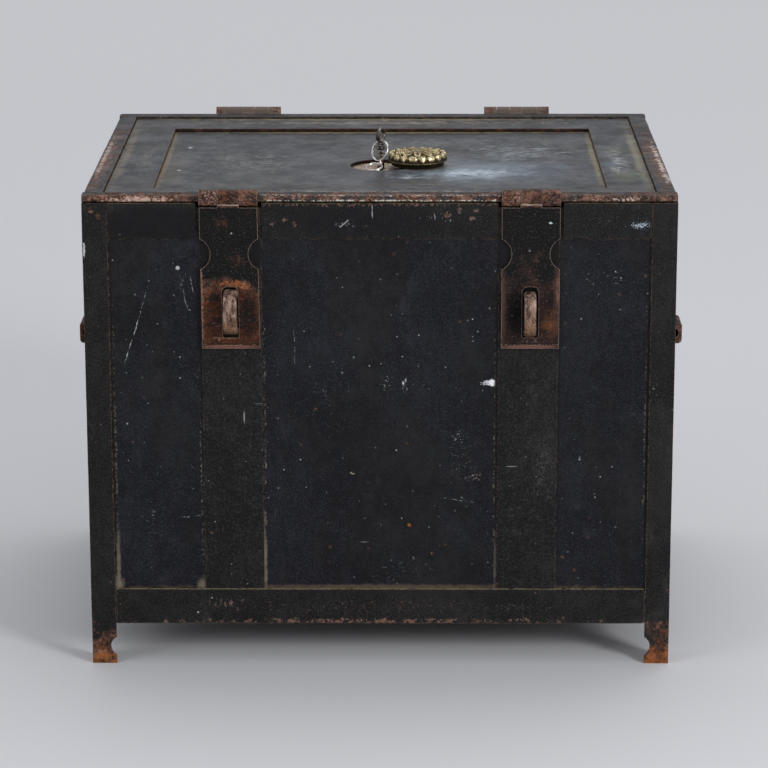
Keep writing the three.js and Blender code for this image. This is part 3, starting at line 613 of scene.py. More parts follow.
def tube(points, radius, sides, closed=False, across=None):
    """A round bar along points; radius is one number or one for each point. Its first corner lies across."""
    bm = bmesh.new()
    count = len(points)
    radii = radius if isinstance(radius, (list, tuple)) else [radius] * count
    rings = []
    side = None
    for i, point in enumerate(points):
        before = points[i - 1] if closed or i else point
        after = points[(i + 1) % count] if closed or i < count - 1 else point
        ahead = (after - before).normalized()
        if side is None:
            side = across.copy() if across else ahead.orthogonal()
        side = (side - ahead * side.dot(ahead)).normalized()
        other = ahead.cross(side)
        turns = [2 * math.pi * k / sides for k in range(sides)]
        rings.append([
            bm.verts.new(point + (side * math.cos(a) + other * math.sin(a)) * radii[i]) for a in turns
        ])
    pairs = zip(rings, rings[1:] + rings[:1]) if closed else zip(rings, rings[1:])
    for one, two in pairs:
        for k in range(sides):
            bm.faces.new((one[k], one[(k + 1) % sides], two[(k + 1) % sides], two[k]))
    if not closed:
        bm.faces.new(rings[0][::-1])
        bm.faces.new(rings[-1])
    return bm


def lathe(profile, centre, sides):
    """A solid turned round a vertical line at centre (x, y). The profile is (radius, height) in millimetres."""
    bm = bmesh.new()
    rings = []
    for radius, height in profile:
        if radius < 1e-6:
            rings.append([bm.verts.new((centre[0], centre[1], height * MM))])
            continue
        rings.append([
            bm.verts.new((
                centre[0] + radius * MM * math.cos(2 * math.pi * k / sides),
                centre[1] + radius * MM * math.sin(2 * math.pi * k / sides),
                height * MM,
            ))
            for k in range(sides)
        ])
    for one, two in zip(rings, rings[1:]):
        for k in range(sides):
            n = (k + 1) % sides
            corners = [one[k % len(one)], one[n % len(one)], two[n % len(two)], two[k % len(two)]]
            bm.faces.new(list(dict.fromkeys(corners)))
    return bm


def joined(*meshes):
    whole = meshes[0]
    for other in meshes[1:]:
        mesh = bpy.data.meshes.new("part")
        other.to_mesh(mesh)
        other.free()
        whole.from_mesh(mesh)
        bpy.data.meshes.remove(mesh)
    return whole


# ---------------------------------------------------------------- marks on the front and on the lid

class Face:
    """A flat face that marks lie on. It is at level on the axis across it; depth is how far its marks reach."""

    def __init__(self, axis, level, depth):
        self.axis, self.level, self.depth = axis, level, depth

    def filled(self, numbers, missing):
        """Two numbers in the plane of the face made three; three are left as they are."""
        return numbers if len(numbers) == 3 else (*numbers[:self.axis], missing, *numbers[self.axis:])

    def spot(self, look, centre, size, *shape):
        return look.spot(self.filled(centre, self.level), self.filled(size, self.depth), *shape)


def on(face, *marks):
    return [partial(mark, face) for mark in marks]


def stain(centre, size, colour, strength=1.0, ragged=0.5, scale=120.0, soft=0.5):
    def mark(face, look):
        look.lay(look.times(face.spot(look, centre, size, ragged, scale, soft), strength), colour)
    return mark


def bared(centre, size, strength=1.0, ragged=0.8, scale=90.0, soft=0.6):
    """A patch where the paint is gone and the rust shows."""
    def mark(face, look):
        look.lay(look.times(face.spot(look, centre, size, ragged, scale, soft), strength), look.rusty)
    return mark


def scuff(centre, size, colour=CHALK, strength=0.8, fill=0.5, scale=700.0, stretch=(1, 1, 1), turn=0):
    """A patch of crumbs or, with a stretch, of fine strokes. turn is about Y, in degrees."""
    def mark(face, look):
        crumbs = look.grit(face.spot(look, centre, size, 0.5, 60, 1.0), fill, scale, stretch, (0, turn, 0))
        look.lay(look.times(crumbs, strength), colour)
    return mark


def cut_line(start, end, width=0.8, colour=CHALK, strength=0.6, broken=0.42):
    def mark(face, look):
        ends = [face.filled(point, face.level) for point in (start, end)]
        look.lay(look.times(look.scratch(*ends, width, broken), strength), colour)
    return mark


FACE_Y = cad_box[0].y / MM + 20.0  # the front of the frame; the staples reach past it
HASP_X = 162
RAIL = Face(1, FACE_Y, 4)
LOW_RAIL = Face(1, FACE_Y, 9)
PLATE = Face(1, FACE_Y + 3.0, 6)
HASP = Face(1, FACE_Y - 3.5, 9)
LID_PANEL, LID_FLAT, LID_BORDER = (Face(2, level, 9) for level in (522.7, 527, 530))

PLATE_MARKS = on(
    PLATE,
    scuff((117, 322), (17, 7), CHALK, 0.9, 0.9, 420, (0.7, 1, 1)),
    stain((122, 322), (5.5, 4, 4.2), (0.80, 0.82, 0.85), 0.9, 0.9, 260),
    scuff((27, 320), (7, 24), CHALK, 0.9, 0.75, 420, (1, 1, 0.6)),
    scuff((4, 325), (24, 36), CHALK, 0.6, 0.25, 520),
    stain((-218, 450), (2.8, 4, 2.8), (0.5, 0.5, 0.48), 0.8, 0.5, 300),
    scuff((-212, 436), (14, 22), CHALK, 0.35, 0.35, 420, (1, 1, 0.3), 12),
    scuff((-31, 219), (8, 4, 4), (0.30, 0.25, 0.19), 0.7, 0.9, 300, (0.5, 1, 1), 30),
    stain((32, 160), (2.6, 4, 2.4), RUST_ORANGE, 0.9, 0.8, 260),
    scuff((98, 215), (34, 14), (0.42, 0.34, 0.30), 0.55, 0.4, 480, (0.6, 1, 1), -20),
    scuff((84, 262), (22, 22), CHALK, 0.45, 0.3, 520),
    scuff((90, 235), (60, 80), CHALK, 0.22, 0.22, 560),
    scuff((-60, 300), (110, 150), CHALK, 0.16, 0.14, 480, (1, 1, 0.4), -6),
    scuff((20, 110), (130, 40), CHALK, 0.22, 0.2, 520, (0.4, 1, 1), 30),
    scuff((-250, 160), (40, 70), CHALK, 0.20, 0.25, 520, (0.4, 1, 1), 50),
    scuff((240, 440), (60, 30), CHALK, 0.35, 0.25, 520, (0.5, 1, 1), 20),
    *[cut_line(*cut) for cut in (
        ((-249, 436), (-262, 392), 0.7, CHALK, 0.5, 0.46),
        ((-262, 392), (-277, 345), 0.9, CHALK, 0.75, 0.40),
        ((-216, 443), (-208, 404), 0.7, CHALK, 0.4, 0.45),
        ((-205, 440), (-202, 424), 0.7, CHALK, 0.4, 0.45),
        ((-93, 383), (-92, 340), 0.7, CHALK, 0.4, 0.46),
        ((-214, 234), (-203, 224), 0.7, CHALK, 0.35, 0.40),
        ((-222, 169), (-196, 171), 0.9, (0.25, 0.26, 0.26), 0.4, 0.42),
        ((70, 191), (104, 186), 0.6, CHALK, 0.4, 0.44),
        ((84, 197), (98, 184), 0.6, CHALK, 0.4, 0.44),
    )],
    scuff((-126, 270), (5, 3, 330), (0.24, 0.21, 0.16), 0.7, 0.62, 330),
    scuff((126, 270), (5, 3, 330), (0.20, 0.17, 0.13), 0.7, 0.60, 330),
    scuff((-195, 230), (5, 3, 260), (0.24, 0.22, 0.17), 0.7, 0.60, 330),
    scuff((-290, 260), (5, 3, 330), (0.20, 0.17, 0.12), 0.7, 0.62, 330),
    scuff((290, 270), (5, 3, 330), (0.20, 0.18, 0.13), 0.7, 0.60, 330),
    # Dark lines on the plates along the bars: painted shade at the joints, where the bars' edges shade the plate.
    *[stain((x, 290), (width, 2, 240), SHADE_BLACK, strength, 0.6, 60, 0.7) for x, width, strength in (
        (126.5, 2.4, 0.9), (291, 2.6, 0.95), (-291, 2.2, 0.8),
        (-126.5, 1.8, 0.7), (194.6, 1.8, 0.7), (-194.6, 2.2, 0.8),
    )],
    stain((0, 88), (330, 5), DUST, 0.55, 0.6, 90, 0.9),
    stain((-290, 92), (9, 12), (0.20, 0.17, 0.12), 0.7, 0.6, 90, 0.9),
    stain((-196, 92), (9, 12), (0.20, 0.17, 0.12), 0.6, 0.6, 90, 0.9),
    stain((-289, 110), (3.2, 70), (0.18, 0.15, 0.11), 0.7, 0.8, 120, 0.9),
    stain((-127, 120), (3.4, 70), (0.20, 0.17, 0.12), 0.8, 0.8, 120, 0.9),
    stain((127, 110), (2.6, 50), (0.15, 0.13, 0.10), 0.6, 0.9, 120, 0.9),
)


# RAIL_MARKS lie on the top rails and the stiles, and the second part of them on the posts as well.
BROAD_RAIL_MARKS = on(
    RAIL,
    scuff((0, 520), (640, 9, 6), (0.19, 0.105, 0.078), 0.85, 0.55, 240),
    stain((-235, 498), (110, 9, 26), (0.0035, 0.0035, 0.0042), 0.7, 0.5, 20, 0.5),
    stain((-20, 498), (150, 9, 30), (0.0045, 0.0045, 0.0055), 0.5, 0.8, 20, 0.8),
    scuff((178, 230), (60, 9, 160), (0.06, 0.055, 0.05), 0.7, 0.5, 480),
    *[scuff((x, z), (8.4, 7.4), (0.17, 0.100, 0.080), 0.75, 0.75, 260)
      for x, z in ((-116, 500), (-103, 504), (-92, 498), (72, 509), (85, 514), (99, 505), (103, 514))],
)
POST_MARKS = on(
    RAIL,
    scuff((279, 497), (24, 6, 11), (0.42, 0.50, 0.56), 0.9, 0.85, 620),
    scuff((250, 503), (60, 6, 16), CHALK, 0.4, 0.2, 560, (0.25, 1, 1)),
    scuff((62, 505), (46, 6, 14), CHALK, 0.55, 0.3, 480, (1, 1, 0.25), 25),
    scuff((-40, 498), (30, 6, 12), CHALK, 0.6, 0.35, 460),
    scuff((0, 486), (300, 6, 4), (0.35, 0.32, 0.27), 0.6, 0.2, 460, (0.4, 1, 1)),
    bared((-310, 514), (4.4, 4.4), 0.9, 0.6, 160),
    bared((-302, 508), (3.6, 5), 0.9, 0.6, 160),
    scuff((-318, 470), (3.0, 22), (0.55, 0.6, 0.58), 0.8, 0.8, 300),
    cut_line((-8, 519), (-8, 506), 0.9, CHALK, 0.6, 0.35),
    cut_line((-42, 496), (-34, 503), 1.0, CHALK, 0.5, 0.3),
    # Painted shade: dark on the stiles inside the hasps' notches, and near black in the hasps' slots round the
    # staples.
    *[stain((x + side * 30.5, 466), (12, 6, 20), SHADE_BLACK, 0.9, 0.3, 120, 0.35)
      for x in (-HASP_X, HASP_X) for side in (-1, 1)],
    *[stain((x, 402), (12, 6, 36), (0.0015, 0.0015, 0.0015), 1.0, 0.1, 120, 0.1) for x in (-HASP_X, HASP_X)],
)
RAIL_MARKS = BROAD_RAIL_MARKS + POST_MARKS


LOW_RAIL_MARKS = on(
    LOW_RAIL,
    scuff((0, 49), (640, 9), (0.17, 0.090, 0.062), 0.9, 0.62, 230),
    scuff((0, 66), (640, 34), (0.11, 0.062, 0.045), 0.7, 0.34, 300),
    scuff((0, 52), (640, 8), (0.45, 0.42, 0.36), 0.7, 0.22, 420),
    scuff((-170, 70), (60, 18), (0.20, 0.13, 0.10), 0.6, 0.55, 330, (1, 1, 0.4), 35),
    scuff((150, 66), (120, 16), CHALK, 0.4, 0.25, 480),
)


LID_MARKS = on(
    LID_PANEL,
    stain((110, -90), (190, 100), (0.090, 0.110, 0.142), 0.55, 0.9, 22, 1.0),
    stain((-150, 20), (170, 220), (0.026, 0.028, 0.033), 0.6, 0.9, 14, 1.0),
    stain((110, -64), (120, 86), (0.20, 0.24, 0.28), 0.60, 0.9, 30, 1.0),
    stain((90, -92), (90, 40), (0.30, 0.36, 0.41), 0.50, 1.2, 60, 1.0),
    scuff((115, -84), (110, 52), (0.52, 0.60, 0.67), 0.60, 0.60, 300, (0.25, 1, 1)),
    scuff((95, -92), (80, 36), (0.55, 0.62, 0.70), 0.6, 0.75, 420, (0.5, 1, 1)),
    scuff((30, -112), (70, 24), (0.46, 0.52, 0.58), 0.6, 0.6, 300, (0.3, 1, 1)),
    stain((80, -2), (60, 26), (0.05, 0.07, 0.10), 0.5, 1.1, 24, 0.9),
    scuff((-150, -30), (190, 190), (0.20, 0.20, 0.19), 0.7, 0.55, 420, (0.3, 1, 1)),
    scuff((160, 40), (150, 150), (0.27, 0.31, 0.34), 0.7, 0.60, 420, (0.3, 1, 1)),
    scuff((60, 100), (260, 90), (0.20, 0.21, 0.21), 0.6, 0.50, 300, (0.3, 1, 1)),
    stain((-235, -60), (22, 120), (0.10, 0.080, 0.052), 0.55, 0.9, 40, 0.9),
    scuff((-223, 67), (7, 8), CHALK, 0.9, 0.8, 360),
    stain((-227, -70), (2.6, 3), CHALK, 0.8, 0.6, 180),
    stain((-203, -23), (3.4, 4), (0.01, 0.01, 0.01), 0.7, 0.5, 180),
    cut_line((176, 61), (192, 58), 1.2, CHALK, 0.7, 0.2),
    cut_line((40, -150), (70, -153), 1.0, CHALK, 0.5, 0.3),
    stain((0, -150), (260, 14), (0.08, 0.055, 0.04), 0.35, 1.2, 60, 0.9),
    stain((0, 164), (300, 7), (0.25, 0.21, 0.12), 0.8, 0.9, 90, 0.9),
    stain((-245, -10), (5, 220), (0.20, 0.16, 0.09), 0.7, 0.9, 90, 0.9),
    stain((244, -10), (6, 220), (0.25, 0.21, 0.12), 0.8, 0.9, 90, 0.9),
)


FLAT_MARKS = on(
    LID_FLAT,
    stain((269, 20), (20, 34), (0.085, 0.090, 0.045), 0.6, 1.0, 60, 0.9),
    stain((276, -128), (24, 40), (0.080, 0.105, 0.060), 0.6, 1.0, 54, 0.9),
    stain((262, -60), (22, 28), (0.105, 0.145, 0.165), 0.6, 1.0, 54, 0.9),
    scuff((268, -20), (34, 210), (0.42, 0.45, 0.42), 0.7, 0.55, 330, (0.3, 1, 1)),
    scuff((268, -90), (30, 70), (0.50, 0.52, 0.42), 0.6, 0.6, 300, (0.5, 1, 1)),
    scuff((-268, -20), (34, 240), (0.24, 0.22, 0.19), 0.7, 0.5, 330, (0.4, 1, 1)),
    stain((0, 205), (400, 40), (0.040, 0.034, 0.028), 0.6, 0.9, 24, 1.0),
    scuff((0, 205), (600, 34), (0.30, 0.25, 0.19), 0.7, 0.60, 330, (0.2, 1, 1)),
    stain((0, 228), (330, 8), (0.26, 0.22, 0.13), 0.75, 1.0, 60, 0.9),
    stain((-292, 0), (8, 260), (0.17, 0.14, 0.09), 0.6, 1.0, 60, 0.9),
    stain((292, 0), (8, 260), (0.22, 0.19, 0.11), 0.7, 1.0, 60, 0.9),
    scuff((0, -210), (600, 18), (0.28, 0.24, 0.20), 0.7, 0.6, 330, (0.3, 1, 1)),
)


HINGE_MARKS = on(
    LID_BORDER,
    *[stain((x, 263, 531), (42, 12, 14), (0.125, 0.092, 0.076), 0.85, 0.4, 160, 0.2) for x in (-164, 164)],
)
BORDER_MARKS = HINGE_MARKS + on(
    LID_BORDER,
    scuff((316, -150), (10, 54), (0.72, 0.71, 0.66), 0.9, 0.9, 330),
    bared((311, -60), (12, 200), 0.9, 1.2, 60),
    scuff((314, -60), (9, 330), (0.58, 0.46, 0.40), 0.85, 0.80, 240),
    bared((-312, -40), (10, 250), 0.9, 1.3, 50),
    scuff((-314, -40), (8, 330), (0.50, 0.38, 0.32), 0.8, 0.75, 240),
)


NOSING_MARKS = on(
    RAIL,
    scuff((0, 524.5), (900, 8, 3.4), (0.60, 0.55, 0.47), 0.9, 0.66, 330),
    scuff((0, FACE_Y + 4, 530), (900, 9, 3.4), (0.46, 0.38, 0.33), 0.8, 0.58, 330),
    scuff((-250, 526), (90, 10, 7), (0.60, 0.52, 0.44), 0.8, 0.70, 400),
    bared((-250, 527), (130, 12, 9), 0.9, 1.0, 60),
    bared((255, 527), (95, 12, 9), 0.9, 1.0, 60),
    scuff((-256, 525), (100, 12, 12), (0.52, 0.36, 0.29), 0.85, 0.85, 240),
    scuff((262, 526), (70, 10, 7), (0.58, 0.45, 0.38), 0.8, 0.62, 400),
)


FOOT_X = 306.5
FOOT_MARKS = on(
    RAIL,
    *[bared((x, 0, 22), (60, 400, 40), 0.9, 1.2, 90, 0.5) for x in (-FOOT_X, FOOT_X)],
    stain((-FOOT_X, 0, 0), (60, 400, 30), (0.36, 0.115, 0.026), 0.80, 0.9, 150, 0.6),
    stain((FOOT_X, 0, 0), (60, 400, 30), (0.34, 0.105, 0.024), 0.75, 0.9, 150, 0.6),
    *[scuff((x, 0, 10), (60, 400, 30), (0.62, 0.26, 0.075), 0.85, 0.75, 330) for x in (-FOOT_X, FOOT_X)],
    *[scuff((x, 0, 12), (60, 400, 34), RUST_DARK, 0.9, 0.66, 200) for x in (-FOOT_X, FOOT_X)],
)


LEFT_HASP_MARKS = on(
    HASP,
    bared((-162, 399), (52, 44), 1.0, 0.35, 70, 0.2),
    stain((-162, 392), (50, 48), (0.052, 0.015, 0.006), 0.85, 0.5, 260, 0.4),
    scuff((-162, 390), (60, 60), (0.016, 0.008, 0.006), 0.85, 1.0, 240, (0.30, 1, 1)),
    scuff((-162, 390), (60, 60), (0.19, 0.10, 0.07), 0.7, 0.5, 200, (0.30, 1, 1)),
    scuff((-160, 434), (36, 9), (0.24, 0.085, 0.032), 0.9, 0.85, 330),
    scuff((-146, 431), (16, 8), (0.36, 0.130, 0.045), 0.8, 0.75, 330),
    scuff((-186, 420), (9, 22), (0.24, 0.070, 0.030), 0.8, 0.75, 330),
    # Painted shadow: near black patches beside the staple.
    stain((-142, 400), (15, 32), (0.008, 0.006, 0.006), 0.85, 0.9, 130, 0.7),
    stain((-180, 419), (10, 8), (0.008, 0.007, 0.007), 0.85, 0.9, 130, 0.6),
    scuff((-165, 374), (34, 7), (0.32, 0.15, 0.08), 0.7, 0.72, 330),
    stain((-161, 367.2), (40, 1.0), RUST_DARK, 0.8, 0.3, 120, 0.5),
    stain((-161, 364.2), (40, 2.2), (0.16, 0.075, 0.055), 0.8, 0.3, 200, 0.5),
    cut_line((-192, 365.8), (-131, 365.8), 0.8, WORN_PALE, 0.35, 0.46),
    cut_line((-192, 458), (-191, 372), 1.6, RUST_PINK, 0.7, 0.40),
    cut_line((-174, 520.5), (-151, 520.5), 1.0, WORN_PALE, 0.8, 0.2),
)


RIGHT_HASP_MARKS = on(
    HASP,
    bared((162, 380), (44, 90), 0.7, 1.0, 60, 0.9),
    stain((162, 385), (60, 66), (0.016, 0.009, 0.008), 0.86, 0.5, 120, 0.6),
    stain((184, 388), (14, 20), (0.115, 0.042, 0.018), 0.65, 1.0, 130, 0.9),
    scuff((184, 386), (12, 19), (0.22, 0.080, 0.030), 0.6, 0.5, 400),
    # Painted shadow: a near black patch left of the staple.
    stain((146, 404), (19, 40), (0.0022, 0.0020, 0.0020), 0.95, 0.5, 80, 0.8),
    stain((193, 425), (8, 60), (0.105, 0.050, 0.036), 0.7, 0.4, 160, 1.0),
    scuff((192, 425), (6, 54), (0.20, 0.090, 0.060), 0.6, 0.7, 300, (1, 1, 0.5)),
    stain((132, 410), (6, 70), (0.090, 0.044, 0.032), 0.7, 0.4, 160, 1.0),
    scuff((162, 370), (40, 6), (0.16, 0.15, 0.11), 0.5, 0.6, 300, (0.4, 1, 1)),
    stain((162, 367.6), (40, 1.0), RUST_DARK, 0.8, 0.3, 120, 0.5),
    stain((162, 364.2), (40, 2.4), (0.15, 0.070, 0.052), 0.9, 0.3, 200, 0.5),
    cut_line((132, 366.2), (192, 366.2), 0.8, WORN_PALE, 0.35, 0.46),
    scuff((183, 501), (6, 3), (0.6, 0.7, 0.72), 0.9, 0.85, 420),
    cut_line((151, 520.5), (174, 520.5), 1.0, WORN_PALE, 0.8, 0.2),
)


# ---------------------------------------------------------------- finishes

FRAME_TONES = ((0.0042, 0.0042, 0.0045), (0.0126, 0.0124, 0.0125))
PLATE_TONES = ((0.0038, 0.0040, 0.0066), (0.0100, 0.0104, 0.0145))
PLATE_GREY = ((0.0050, 0.0051, 0.0053), (0.0140, 0.0140, 0.0136))
# The lid's tones are the front's paint laid several times lighter: painted light from above on the lid's top.
LID_TONES_LIT = ((0.0120, 0.0140, 0.0175), (0.050, 0.054, 0.059))
LID_GREY_LIT = ((0.0150, 0.0150, 0.0150), (0.060, 0.058, 0.054))
BORDER_TONES = ((0.0095, 0.0100, 0.0105), (0.038, 0.039, 0.040))
INSIDE_TONES = ((0.022, 0.017, 0.014), (0.050, 0.036, 0.027))


def make_finishes():
    return {
        "frame": painted("frame_black", FRAME_TONES, rust=0.10, ledge=0.8, edge=0.55, wear=DUST, marks=RAIL_MARKS),
        "posts": painted("post_black", FRAME_TONES, rust=0.14, edge=0.6, marks=POST_MARKS + FOOT_MARKS),
        "low_rail": painted(
            "low_rail_black", FRAME_TONES, rust=0.22, edge=0.9, ledge=1.0, wear=(0.33, 0.29, 0.22),
            marks=LOW_RAIL_MARKS,
        ),
        "plates": painted(
            "plate_blue_black", PLATE_TONES, rust=0.02, dust=0.5, marks=PLATE_MARKS, tint=PLATE_GREY,
        ),
        "plain_plates": painted("plate_plain", PLATE_TONES, rust=0.06, dust=0.6, tint=PLATE_GREY),
        "lid_panel": painted(
            "lid_panel_grey", LID_TONES_LIT, rust=0.03, dust=0.9, rough=0.36, marks=LID_MARKS, streaks=(0.05, 1, 1),
            streak=0.2, grime=0.75, tint=LID_GREY_LIT, shine=0.2, top_only=True, contrast=1.25,
        ),
        "lid_flats": painted(
            "lid_flat_grey", LID_TONES_LIT, rust=0.08, dust=0.9, rough=0.38, marks=FLAT_MARKS, streaks=(0.08, 1, 1),
            streak=0.2, grime=0.7, edge=0.9, edge_width=1.6, tint=LID_GREY_LIT, shine=0.2, top_only=True, contrast=1.25,
        ),
        "nosing": painted(
            "nosing_worn", BORDER_TONES, rust=0.62, edge=1.0, edge_width=1.6, rough=0.5, rust_pink=1.0,
            orange=0.12, marks=NOSING_MARKS,
        ),
        "borders": painted(
            "border_worn", BORDER_TONES, rust=0.42, edge=1.0, edge_width=2.0, marks=BORDER_MARKS, rust_pink=0.9,
            orange=0.1,
        ),
        "inside": painted("inside_primer", INSIDE_TONES, rust=0.35, dust=0.4, specks=0.3, rough=0.6),
        "hasp_left": rusted(
            "hasp_left_iron", paint=0.80, marks=LEFT_HASP_MARKS, above=519, pink=0.40, shine=0.12,
        ),
        "hasp_right": rusted(
            "hasp_right_iron", paint=0.85, marks=RIGHT_HASP_MARKS, above=519, orange=0.15, pink=0.45, shine=0.12,
        ),
        "knuckles": rusted("knuckle_iron", paint=0.18, orange=0.22, pale=0.55, pink=1.0),
        "hinges": rusted("hinge_iron", paint=0.10, orange=0.08, pale=0.35, pink=0.8, marks=HINGE_MARKS),
        "handles": rusted("handle_iron", paint=0.45, orange=0.1),
        "staples": bare_iron("staple_iron", (0.050, 0.022, 0.014), (0.40, 0.270, 0.200), low_rust=388, metal=0.35),
        "pins": bare_iron("pin_iron", rough=0.5),
        "lock": bare_iron("lock_steel", (0.050, 0.047, 0.044), (0.15, 0.145, 0.14), rough=0.42, metal=0.8),
        "key": bare_iron("key_iron_dark", (0.030, 0.024, 0.026), (0.15, 0.135, 0.14), rough=0.34, metal=0.85),
        "seat": bronze_seat(),
        "ring": steel_ring("ring_steel_bright", (0.84, 0.83, 0.80), (0.38, 0.32, 0.27)),
        "link": steel_ring("link_steel_pink", (0.86, 0.72, 0.66), (0.48, 0.33, 0.27)),
        "brass": brass_finish(),
    }


# ---------------------------------------------------------------- chest

SIDES = ("left", "right")


def make_chest(looks):
    for side in SIDES:
        for end in ("front", "back"):
            fine(f"corner_post_{end}_{side}", looks["posts"], "frame_paint", ease=1.1)
        fine(f"front_top_rail_{side}", looks["frame"], "frame_paint")
        fine(f"{side}_top_rail", looks["frame"], "frame_paint")
        fine(f"{side}_bottom_rail", looks["low_rail"], "frame_paint")
        fine(f"front_stile_{side}", looks["frame"], "frame_paint", ease=0.7)
        fine(f"{side}_plate", looks["plain_plates"], "panel_paint", step=30)
    fine("front_top_rail_middle", looks["frame"], "frame_paint")
    fine("front_bottom_rail", looks["low_rail"], "frame_paint", ease=1.1)
    fine("back_top_rail", looks["frame"], "frame_paint")
    fine("back_bottom_rail", looks["low_rail"], "frame_paint")
    fine("front_plate", looks["plates"], "panel_paint", step=30)
    fine("back_plate", looks["plain_plates"], "panel_paint", step=30)
    fine("bottom_plate", looks["inside"], "inner_paint", step=40)
    fine("inner_rim", looks["inside"], "inner_paint", ease=0.6, step=60)


def make_lid(looks):
    fine("lid_border_front", looks["nosing"], "lid_paint", ease=0.5, step=12, dents=0.35, size=26)
    for side in SIDES:
        fine(f"lid_border_{side}", looks["borders"], "lid_paint", ease=0.4, step=14, dents=0.3, size=30)
        fine(f"lid_flat_{side}", looks["lid_flats"], "lid_paint", ease=1.0)
    fine("lid_border_back", looks["borders"], "lid_paint", ease=0.5, step=14)
    fine("lid_flat_front", looks["lid_flats"], "lid_paint", ease=1.0)
    fine("lid_flat_back", looks["lid_flats"], "lid_paint", ease=1.0)
    fine("lid_panel", looks["lid_panel"], "lid_paint", ease=0.5, step=30)


STAPLES_X = {"left": -HASP_X * MM, "right": HASP_X * MM}


def leaning(at):
    """The left hasp hangs a little out of plumb."""
    return at + Vector((max(0.0, 0.517 - at.z) * 0.011, 0, 0))


def twisted(at):
    """The left staple is turned a little to the left."""
    x, y = STAPLES_X["left"], (FACE_Y + 1) * MM
    turned = Matrix.Rotation(math.radians(-3), 3, "Z") @ Vector(((at.x - x) * 1.08, at.y - y, at.z))
    return turned + Vector((x + 1.8 * MM, y, 0))


def low_set(at):
    """The right staple sits a little low."""
    x = STAPLES_X["right"]
    return Vector((x + (at.x - x) * 0.92, at.y, at.z - 2.6 * MM))


def make_hasps(looks):
    bends = {"hasp_left": leaning, "hasp_right": None, "staple_left": twisted, "staple_right": low_set}
    for side in SIDES:
        fine(
            f"hasp_{side}", looks[f"hasp_{side}"], "rusty_iron", ease=0.8, segments=3, step=9, dents=0.2, size=22,
            bend=bends[f"hasp_{side}"],
        )
        fine(f"hasp_hinge_leaf_{side}", looks["knuckles"], "rusty_iron", ease=0.7, step=6, dents=0.2, size=14)
        fine(f"hasp_pin_{side}", looks["pins"], "worn_iron", ease=0.5, step=0)
        fine(
            f"staple_{side}", looks["staples"], "worn_iron", ease=2.4, segments=4, step=4, dents=0.35, size=12,
            bend=bends[f"staple_{side}"],
        )
        fine(f"hinge_leaf_{side}", looks["hinges"], "rusty_iron", ease=0.6, step=8)
        fine(f"hinge_pin_{side}", looks["pins"], "worn_iron", ease=0.5, step=0)


# ---------------------------------------------------------------- lock, key and cover

def make_lock(looks):
    for node in ("lock_case", "lock_cam", "bolt_front", "bolt_back", "bolt_left", "bolt_right"):
        fine(node, looks["lock"], "lock_steel", ease=0.5, step=0)
    fine("escutcheon", looks["seat"], "rusty_iron", ease=0.8, step=0)
    fine("cover_pin", looks["pins"], "worn_iron", ease=0.5, step=0)


def axis_of(node):
    """The middle of a node in plan."""
    low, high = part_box(node)
    return (low + high) / 2


KEY_AXIS = axis_of("escutcheon")
COVER_AXIS = axis_of("keyhole_cover")
BOW_TURN = math.radians(20)
THROUGH_BOW = Vector((math.cos(BOW_TURN), -math.sin(BOW_TURN), 0))
COIL_GAP = 0.12
TO_FRONT = Vector((-math.sin(BOW_TURN), -math.cos(BOW_TURN), 0))


def sloping(degrees):
    """The direction that hangs down to the front, so many degrees from plumb."""
    tilt = math.radians(degrees)
    return TO_FRONT * math.sin(tilt) - Vector((0, 0, 1)) * math.cos(tilt)


def make_key(looks):
    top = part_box("key")[1].z / MM
    profile = [
        (0, 501), (3.4, 501), (4, 502), (4, 531), (4.6, 531.6), (5.6, 532.6), (5.6, 533.6), (4.4, 534.6),
        (4.2, 536), (5.2, 537), (5.2, 538), (4.2, 539), (4.0, 540.4), (5.8, 542.2), (5.8, 543.6), (4.6, 545),
        (3.4, 546), (3.2, 548.6), (0, 549.6),
    ]
    shank = lathe(profile, KEY_AXIS, 32)
    bow_middle = top - 9.75
    turns = 56
    loop, widths = [], []
    for k in range(turns):
        angle = 2 * math.pi * k / turns
        swell = 1 + 0.16 * math.cos(2 * angle)
        across = TO_FRONT * (8.4 * math.cos(angle) * swell * MM)
        up = (bow_middle + 7.6 * math.sin(angle)) * MM
        loop.append(Vector((KEY_AXIS.x, KEY_AXIS.y, up)) + across)
        widths.append((2.0 + 0.25 * math.cos(2 * angle)) * MM)
    bow = tube(loop, widths, sides=14, closed=True, across=THROUGH_BOW)
    bit = bmesh.new()
    thick = 1.7
    levels = (503, 506.4, 508.2, 511.6, 512.8, 515)
    reaches = (12.3, 8.5, 12.3, 9.5, 12.3)
    for bottom, roof, reach in zip(levels, levels[1:], reaches):
        made = bmesh.ops.create_cube(bit, size=1)["verts"]
        bmesh.ops.scale(bit, verts=made, vec=(2 * thick * MM, reach * MM, (roof - bottom) * MM))
        bmesh.ops.translate(
            bit, verts=made, vec=(KEY_AXIS.x, KEY_AXIS.y - reach / 2 * MM, (roof + bottom) / 2 * MM)
        )
    finished("key_fine", joined(shank, bow, bit), looks["key"], "key", ["key"], "key_iron", flat_weighted=False)


